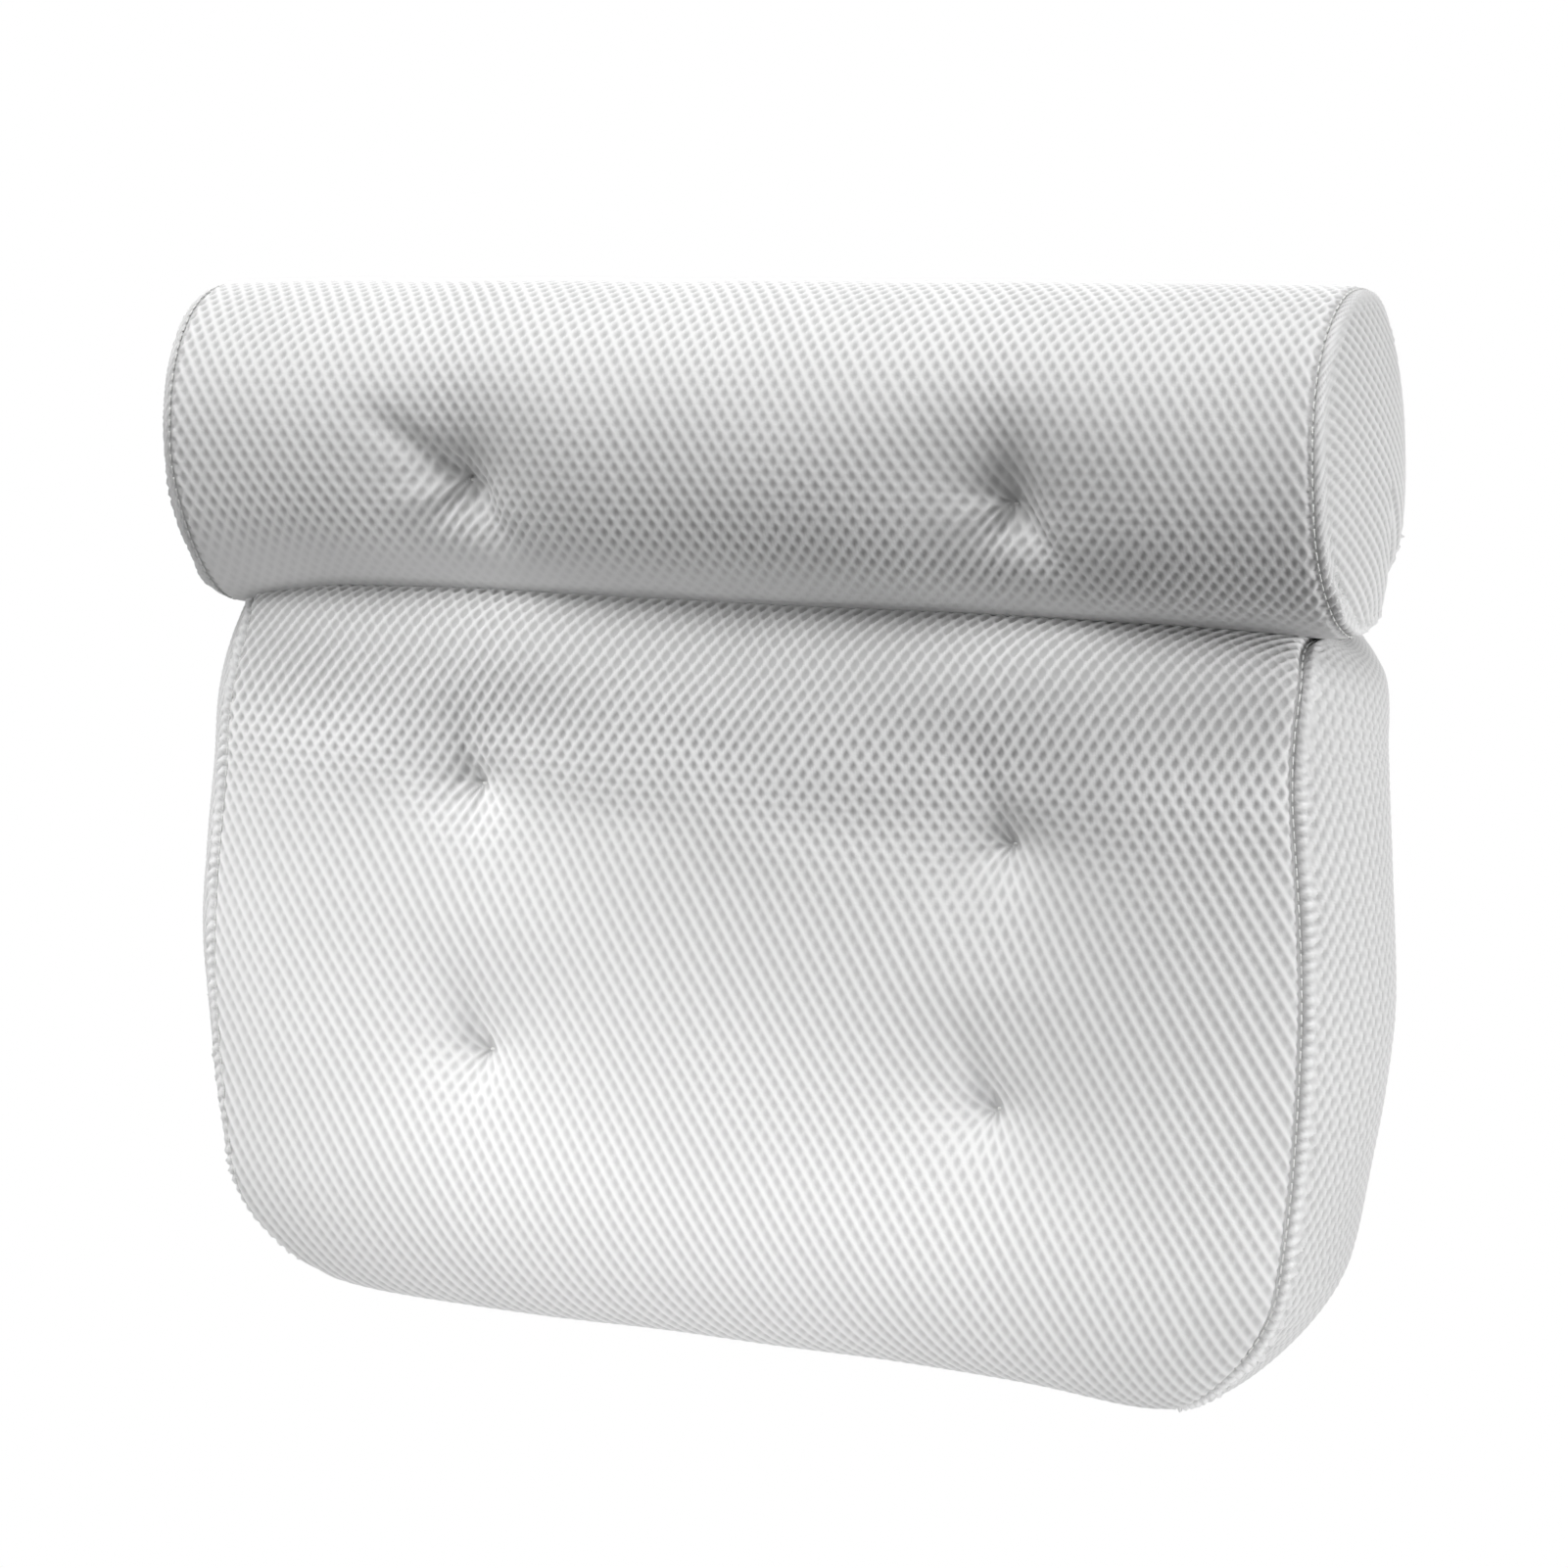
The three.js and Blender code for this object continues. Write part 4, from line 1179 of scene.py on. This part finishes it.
def stitch_maker():
    """Nodes that set a stitch of thread at every pitch along the edges that they are given."""
    sizes = {"Pitch": "Float", "Length": "Float", "Radius": "Float"}
    inputs = {"Geometry": "Geometry", **sizes, "Material": "Material"}
    tree, given, result = new_group("seam_stitches", "GeometryNodeTree", inputs, {"Geometry": "Geometry"})
    line = add_node(tree, "GeometryNodeMeshToCurve")
    spaced = add_node(tree, "GeometryNodeResampleCurve", mode="LENGTH")
    stitch = add_node(tree, "GeometryNodeMeshCylinder", {"Vertices": 8, "Side Segments": 3})
    tangent = add_node(tree, "GeometryNodeInputTangent")
    turned = add_node(tree, "FunctionNodeAlignRotationToVector", axis="Z")
    put = add_node(tree, "GeometryNodeInstanceOnPoints")
    real = add_node(tree, "GeometryNodeRealizeInstances")
    smooth = add_node(tree, "GeometryNodeSetShadeSmooth")
    finish = add_node(tree, "GeometryNodeSetMaterial")
    join(
        tree, (given, "Geometry", line, "Mesh"), (line, "Curve", spaced, "Curve"),
        (given, "Pitch", spaced, "Length"), (given, "Length", stitch, "Depth"),
        (given, "Radius", stitch, "Radius"), (tangent, "Tangent", turned, "Vector"),
        (spaced, "Curve", put, "Points"), (stitch, "Mesh", put, "Instance"),
        (turned, "Rotation", put, "Rotation"), (put, "Instances", real, "Geometry"),
        (real, "Geometry", smooth, "Geometry"), (smooth, "Geometry", finish, "Geometry"),
        (given, "Material", finish, "Material"), (finish, "Geometry", result, "Geometry"),
    )
    return tree


def stitches(name, lines):
    """A plain mesh of the stitches along several seam lines."""
    points, edges = [], []
    for line in lines:
        edges += [(len(points) + k, len(points) + k + 1) for k in range(len(line) - 1)]
        points += (line * MM).tolist()
    mesh = bpy.data.meshes.new(name)
    mesh.from_pydata(points, edges, [])
    guide = linked(name, mesh)
    nodes = guide.modifiers.new("stitches", "NODES")
    nodes.node_group = stitch_maker()
    sizes = {"Pitch": SEAM_PITCH, "Length": STITCH_LENGTH, "Radius": STITCH_RADIUS}
    values = {**{key: size * MM for key, size in sizes.items()}, "Material": THREAD}
    for socket in nodes.node_group.interface.items_tree:
        if socket.in_out == "INPUT" and socket.name in values:
            nodes[socket.identifier] = values[socket.name]
    plain = bpy.data.meshes.new_from_object(guide.evaluated_get(bpy.context.evaluated_depsgraph_get()))
    guide.modifiers.clear()
    guide.data = plain
    return guide


def suction_cup(place):
    """A soft vinyl cup: a thin rim on the wall, a thick crown, and an eye on a neck for the thread."""
    x, z = TUFTS[place]
    hollow = CUP_HEIGHT - CUP_CROWN_WALL
    profile = np.concatenate([np.array(CUP_OUTSIDE) * (1, CUP_HEIGHT), np.array(CUP_INSIDE) * (1, hollow)])
    fine = np.linspace(0, len(profile) - 1, 3 * len(profile))
    profile = cubic_weights(fine, len(profile)) @ profile
    turn = circle(56)
    radius = CUP_RADIUS * np.clip(profile[:, :1], 0.001, 1)
    dome = ring_points(x + radius * np.cos(turn), -np.maximum(0, profile[:, 1:]), z + radius * np.sin(turn))
    section, around = circle(18), turn[::2, None]
    middle, thick = (EYE_RADIUS + EYE_HOLE_RADIUS) / 2, (EYE_RADIUS - EYE_HOLE_RADIUS) / 2
    reach = middle + thick * np.cos(section)
    eye = ring_points(
        x + EYE_HALF_WIDTH * np.sin(section), CUP_EYE_Y + reach * np.cos(around), z + reach * np.sin(around))
    share, rise = np.array(NECK_LEVELS).T[:, :, None]
    width, height = 0.9 * EYE_HALF_WIDTH * share, NECK_HALF_HEIGHT * share
    neck = ring_points(x + width * np.cos(turn), -(CUP_HEIGHT + rise), z + height * np.sin(turn))
    faces = ring_faces(len(profile), len(turn))
    faces += ring_faces(len(around), len(section), closed=True, start=len(dome))
    faces += ring_faces(len(share), len(turn), start=len(dome) + len(eye))
    return solid_object(f"cup_{place}", np.concatenate([dome, eye, neck]), faces)


def hinge_roll():
    """The folded cloth band between the two covers, gathered a little by its stitches."""
    half = cushion_half(HINGE_Z)
    x = np.linspace(-half, half, 900)[:, None]
    turn = circle(28)
    gather = BAND_GATHER * np.cos(2 * math.pi * x / SEAM_PITCH) + slow_wave(x, *BAND_WAVE)
    radius = (HINGE_BAND_RADIUS - BAND_SUNK + gather) * (1 + BAND_CREASE_SHARE * np.cos(BAND_CREASES * turn))
    points = ring_points(x, HINGE_Y + radius * np.cos(turn), HINGE_Z + radius * np.sin(turn))
    return solid_object("hinge_fold", points, ring_faces(len(x), len(turn)))


# The two covers


def cloth_grid(u, v):
    """Cloth coordinates from a row, a column or a grid of each."""
    return np.stack(np.broadcast_arrays(u, v), 2)


def pit_marks(places, rows, shifted):
    """Where each tuft lies in cloth coordinates, at its pit or at its thread's eye."""
    marks = []
    for place in places:
        x, z = TUFTS[place]
        across, up = PIT_SHIFTS[place] if shifted else (0, 0)
        marks.append((x + across, rows[z] - up, place))
    return marks


def sew_and_fill(cover, edges):
    """The stitches along the edges of some coarse panels, and the stuffing."""
    seams = []
    for panel, edge in edges:
        places, normals, _ = cover.panel(panel)
        seams.append(places[edge] - STITCH_SUNK * cover.seam[0] * normals[edge])
    body = cover.body
    placed(stitches(f"{body}_stitches", seams), body, "thread", THREAD)
    placed(stuffing(cover), body, "fibre_fill", FIBRE, f"{body}_fill", fill=cover.fill)


def build_cushion():
    profile = cushion_profile()
    front, back = cushion_face(profile, True), cushion_face(profile, False)
    grids = {"front": front, "back": back[:, ::-1], "gusset": cushion_belt(front, back)[:, ::-1]}
    cover = Cover("cushion", grids, CUSHION_PLACES, hang, CUSHION_SWELL, BOX_SEAM, CUSHION_FILL)
    for panel, step in (("front", FRONT_STEP), ("back", BACK_STEP)):
        base = cover.panel(panel)[2]
        down, column = middle_lengths(base), base[:, round(base.shape[1] * 0.25)]
        straight = down > down[-1] * 0.2
        rows = {z: float(np.interp(-z, -column[straight, 2], down[straight])) for z in ROW_Z}
        shoulder = rows[ROW_Z[0]] - ROW_Z[0]
        marks = pit_marks(CUSHION_PLACES, rows, panel == "front")
        spots = [v for _, v, _ in marks] + [None], [0, None] + [CUSHION_HALF_WIDTH + u for u, _, _ in marks]
        piece = fine_panel(
            f"cushion_{panel}", cover, panel, f"cushion_{panel}_panel", step, spots,
            lambda base: cloth_grid(base[:, :, 0], middle_lengths(base)[:, None]),
            {**ALL_PLAIN, "top": "hinge"}, marks if panel == "front" else (),
            lambda u, v, shoulder=shoulder: crease_net(v - shoulder),
        )
        if panel == "front":
            tie(piece, cover)
    fine_panel(
        "cushion_side_band", cover, "gusset", "cushion_gusset", SIDE_STEP, ([], [0, None]),
        lambda base: cloth_grid(lengths_along(base[len(base) // 4]), lengths_along(base[:, -1])[:, None]),
        {"left": "beaded", "right": "beaded"}, net_of=turned_net,
    )
    sew_and_fill(cover, (("gusset", np.s_[:, 0]), ("gusset", np.s_[:, -1])))


def build_bolster():
    front = bolster_face(HINGE_CORNER_ANGLE, BACK_TOP_SEAM_ANGLE)
    back = bolster_face(BACK_TOP_SEAM_ANGLE, HINGE_CORNER_ANGLE + 2 * math.pi)
    back[0], back[-1] = front[-1], front[0]
    around = np.concatenate([front, back[1:]])
    ends = {"left": bolster_end(around[::-1, 0], -1), "right": bolster_end(around[:, -1], 1)}
    grids = {"front": front[:, ::-1], "back": back[:, ::-1], **ends}
    cover = Cover("bolster", grids, BOLSTER_PLACES, lean, BOLSTER_SWELL, END_SEAM, BOLSTER_FILL)

    def upward(base):
        down = middle_lengths(base)
        return cloth_grid(base[:, :, 0], down[-1] - down[:, None])

    base = cover.panel("front")[2]
    down, column = middle_lengths(base), base[:, base.shape[1] // 2]
    facing = column[:, 1] < BOLSTER_Y
    row = float(np.interp(BOLSTER_TUFT_Z, column[facing, 2], down[facing]))
    middle = down[-1] - row
    lowest = down[-1] - down[np.argmin(column[:, 2])]
    marks = pit_marks(BOLSTER_PLACES, {BOLSTER_TUFT_Z: middle}, True)
    piece = fine_panel(
        "bolster_front", cover, "front", "bolster_front_panel", FRONT_STEP,
        ([row, None], [0, None] + [BOLSTER_HALF_LENGTH + u for u, _, _ in marks]), upward,
        {**ALL_PLAIN, "top": "hinge"}, marks, lambda u, v: under_net(u, v - middle, v - lowest),
    )
    tie(piece, cover)
    fine_panel(
        "bolster_back", cover, "back", "bolster_back_panel", BACK_STEP, ([0, None], [0, None]), upward,
        {**ALL_PLAIN, "bottom": "hinge"},
    )
    for side in ends:
        fine_panel(
            f"bolster_end_{side}", cover, side, f"bolster_end_panel_{side}", SIDE_STEP, ([0], []),
            lambda base: cloth_grid(base[:, :, 2], base[:, :, 1]), {"top": "beaded"}, net_of=turned_net,
        )
    sew_and_fill(cover, [(panel, 0) for panel in ("left", "right", "back")])


# Stage


def add_camera():
    camera = bpy.data.cameras.new("camera")
    camera.lens = CAMERA_LENS
    camera.sensor_width = CAMERA_SENSOR
    obj = linked("camera", camera)
    a, e = math.radians(CAMERA_AZIMUTH), math.radians(CAMERA_ELEVATION)
    back = Vector((math.sin(a) * math.cos(e), -math.cos(a) * math.cos(e), math.sin(e)))
    turn = (-back).to_track_quat("-Z", "Y").to_matrix().to_4x4()
    roll = Matrix.Rotation(math.radians(CAMERA_ROLL), 4, "Z")
    place = Vector(CAMERA_TARGET) * MM + back * CAMERA_DISTANCE * MM
    obj.matrix_world = Matrix.Translation(place) @ turn @ roll
    bpy.context.scene.camera = obj


def add_lamp(name, place, aim, size, spread, power):
    """A soft box whose grid keeps its light to a cone of spread degrees."""
    lamp = bpy.data.lights.new(name, "AREA")
    lamp.spread = math.radians(spread)
    lamp.shape = "RECTANGLE"
    lamp.size, lamp.size_y = size
    lamp.energy = power
    obj = linked(name, lamp)
    obj.location = Vector(place)
    obj.rotation_euler = (Vector(aim) - Vector(place)).to_track_quat("-Z", "Y").to_euler()


def seen_directly(tree):
    """Node and output that are 1 for what the camera sees, directly or through gloss and clear pieces."""
    path = add_node(tree, "ShaderNodeLightPath")
    seen = path, "Is Camera Ray"
    for ray in ("Is Glossy Ray", "Is Transmission Ray"):
        larger = add_node(tree, "ShaderNodeMath", operation="MAXIMUM")
        join(tree, (*seen, larger, 0), (path, ray, larger, 1))
        seen = larger, 0
    return seen


def add_world():
    world = bpy.data.worlds.new("studio")
    bpy.context.scene.world = world
    world.use_nodes = True
    tree = world.node_tree
    background = tree.nodes["Background"]
    set_values(background, {"Color": (1, 1, 1, 1)})
    strength = add_node(tree, "ShaderNodeMapRange", {"To Min": 0.08, "To Max": 1.0})
    join(tree, (*seen_directly(tree), strength, "Value"), (strength, "Result", background, "Strength"))


def add_floor():
    """A pale floor that glows white where the camera looks far past the pillow."""
    mesh = bpy.data.meshes.new("floor")
    sides = ((-1, -1), (1, -1), (1, 1), (-1, 1))
    corners = [(x * FLOOR_HALF, y * FLOOR_HALF, FLOOR_LEVEL) for x, y in sides]
    mesh.from_pydata(corners, [], [(0, 1, 2, 3)])
    floor = linked("floor", mesh)
    material, tree, shader = new_material("pale_floor", {"Base Color": (0.8, 0.8, 0.8, 1), "Roughness": 0.8})
    glow = add_node(tree, "ShaderNodeEmission", {"Strength": 1.0})
    place = add_node(tree, "ShaderNodeTexCoord")
    away = add_node(tree, "ShaderNodeVectorMath", operation="LENGTH")
    span = {"From Min": 0.2, "From Max": 0.95}
    far = add_node(tree, "ShaderNodeMapRange", span, interpolation_type="SMOOTHSTEP")
    share = add_node(tree, "ShaderNodeMath", operation="MULTIPLY")
    mix = add_node(tree, "ShaderNodeMixShader")
    join(
        tree, (place, "Object", away, 0), (away, "Value", far, "Value"), (*seen_directly(tree), share, 0),
        (far, "Result", share, 1), (share, 0, mix, 0), (shader, 0, mix, 1), (glow, 0, mix, 2),
        (mix, 0, tree.nodes["Material Output"], "Surface"),
    )
    mesh.materials.append(material)


def build():
    bpy.context.scene.view_settings.view_transform = "Standard"
    add_camera()
    add_world()
    add_floor()
    for name, lamp in LAMPS.items():
        add_lamp(name, *lamp)
    build_cushion()
    build_bolster()
    for place in TUFTS:
        placed(suction_cup(place), f"cup_{place}", "cup_rubber", VINYL, f"suction_cup_{place}")
    placed(hinge_roll(), "cushion", "air_mesh", FIBRE, "hinge_band")


build()
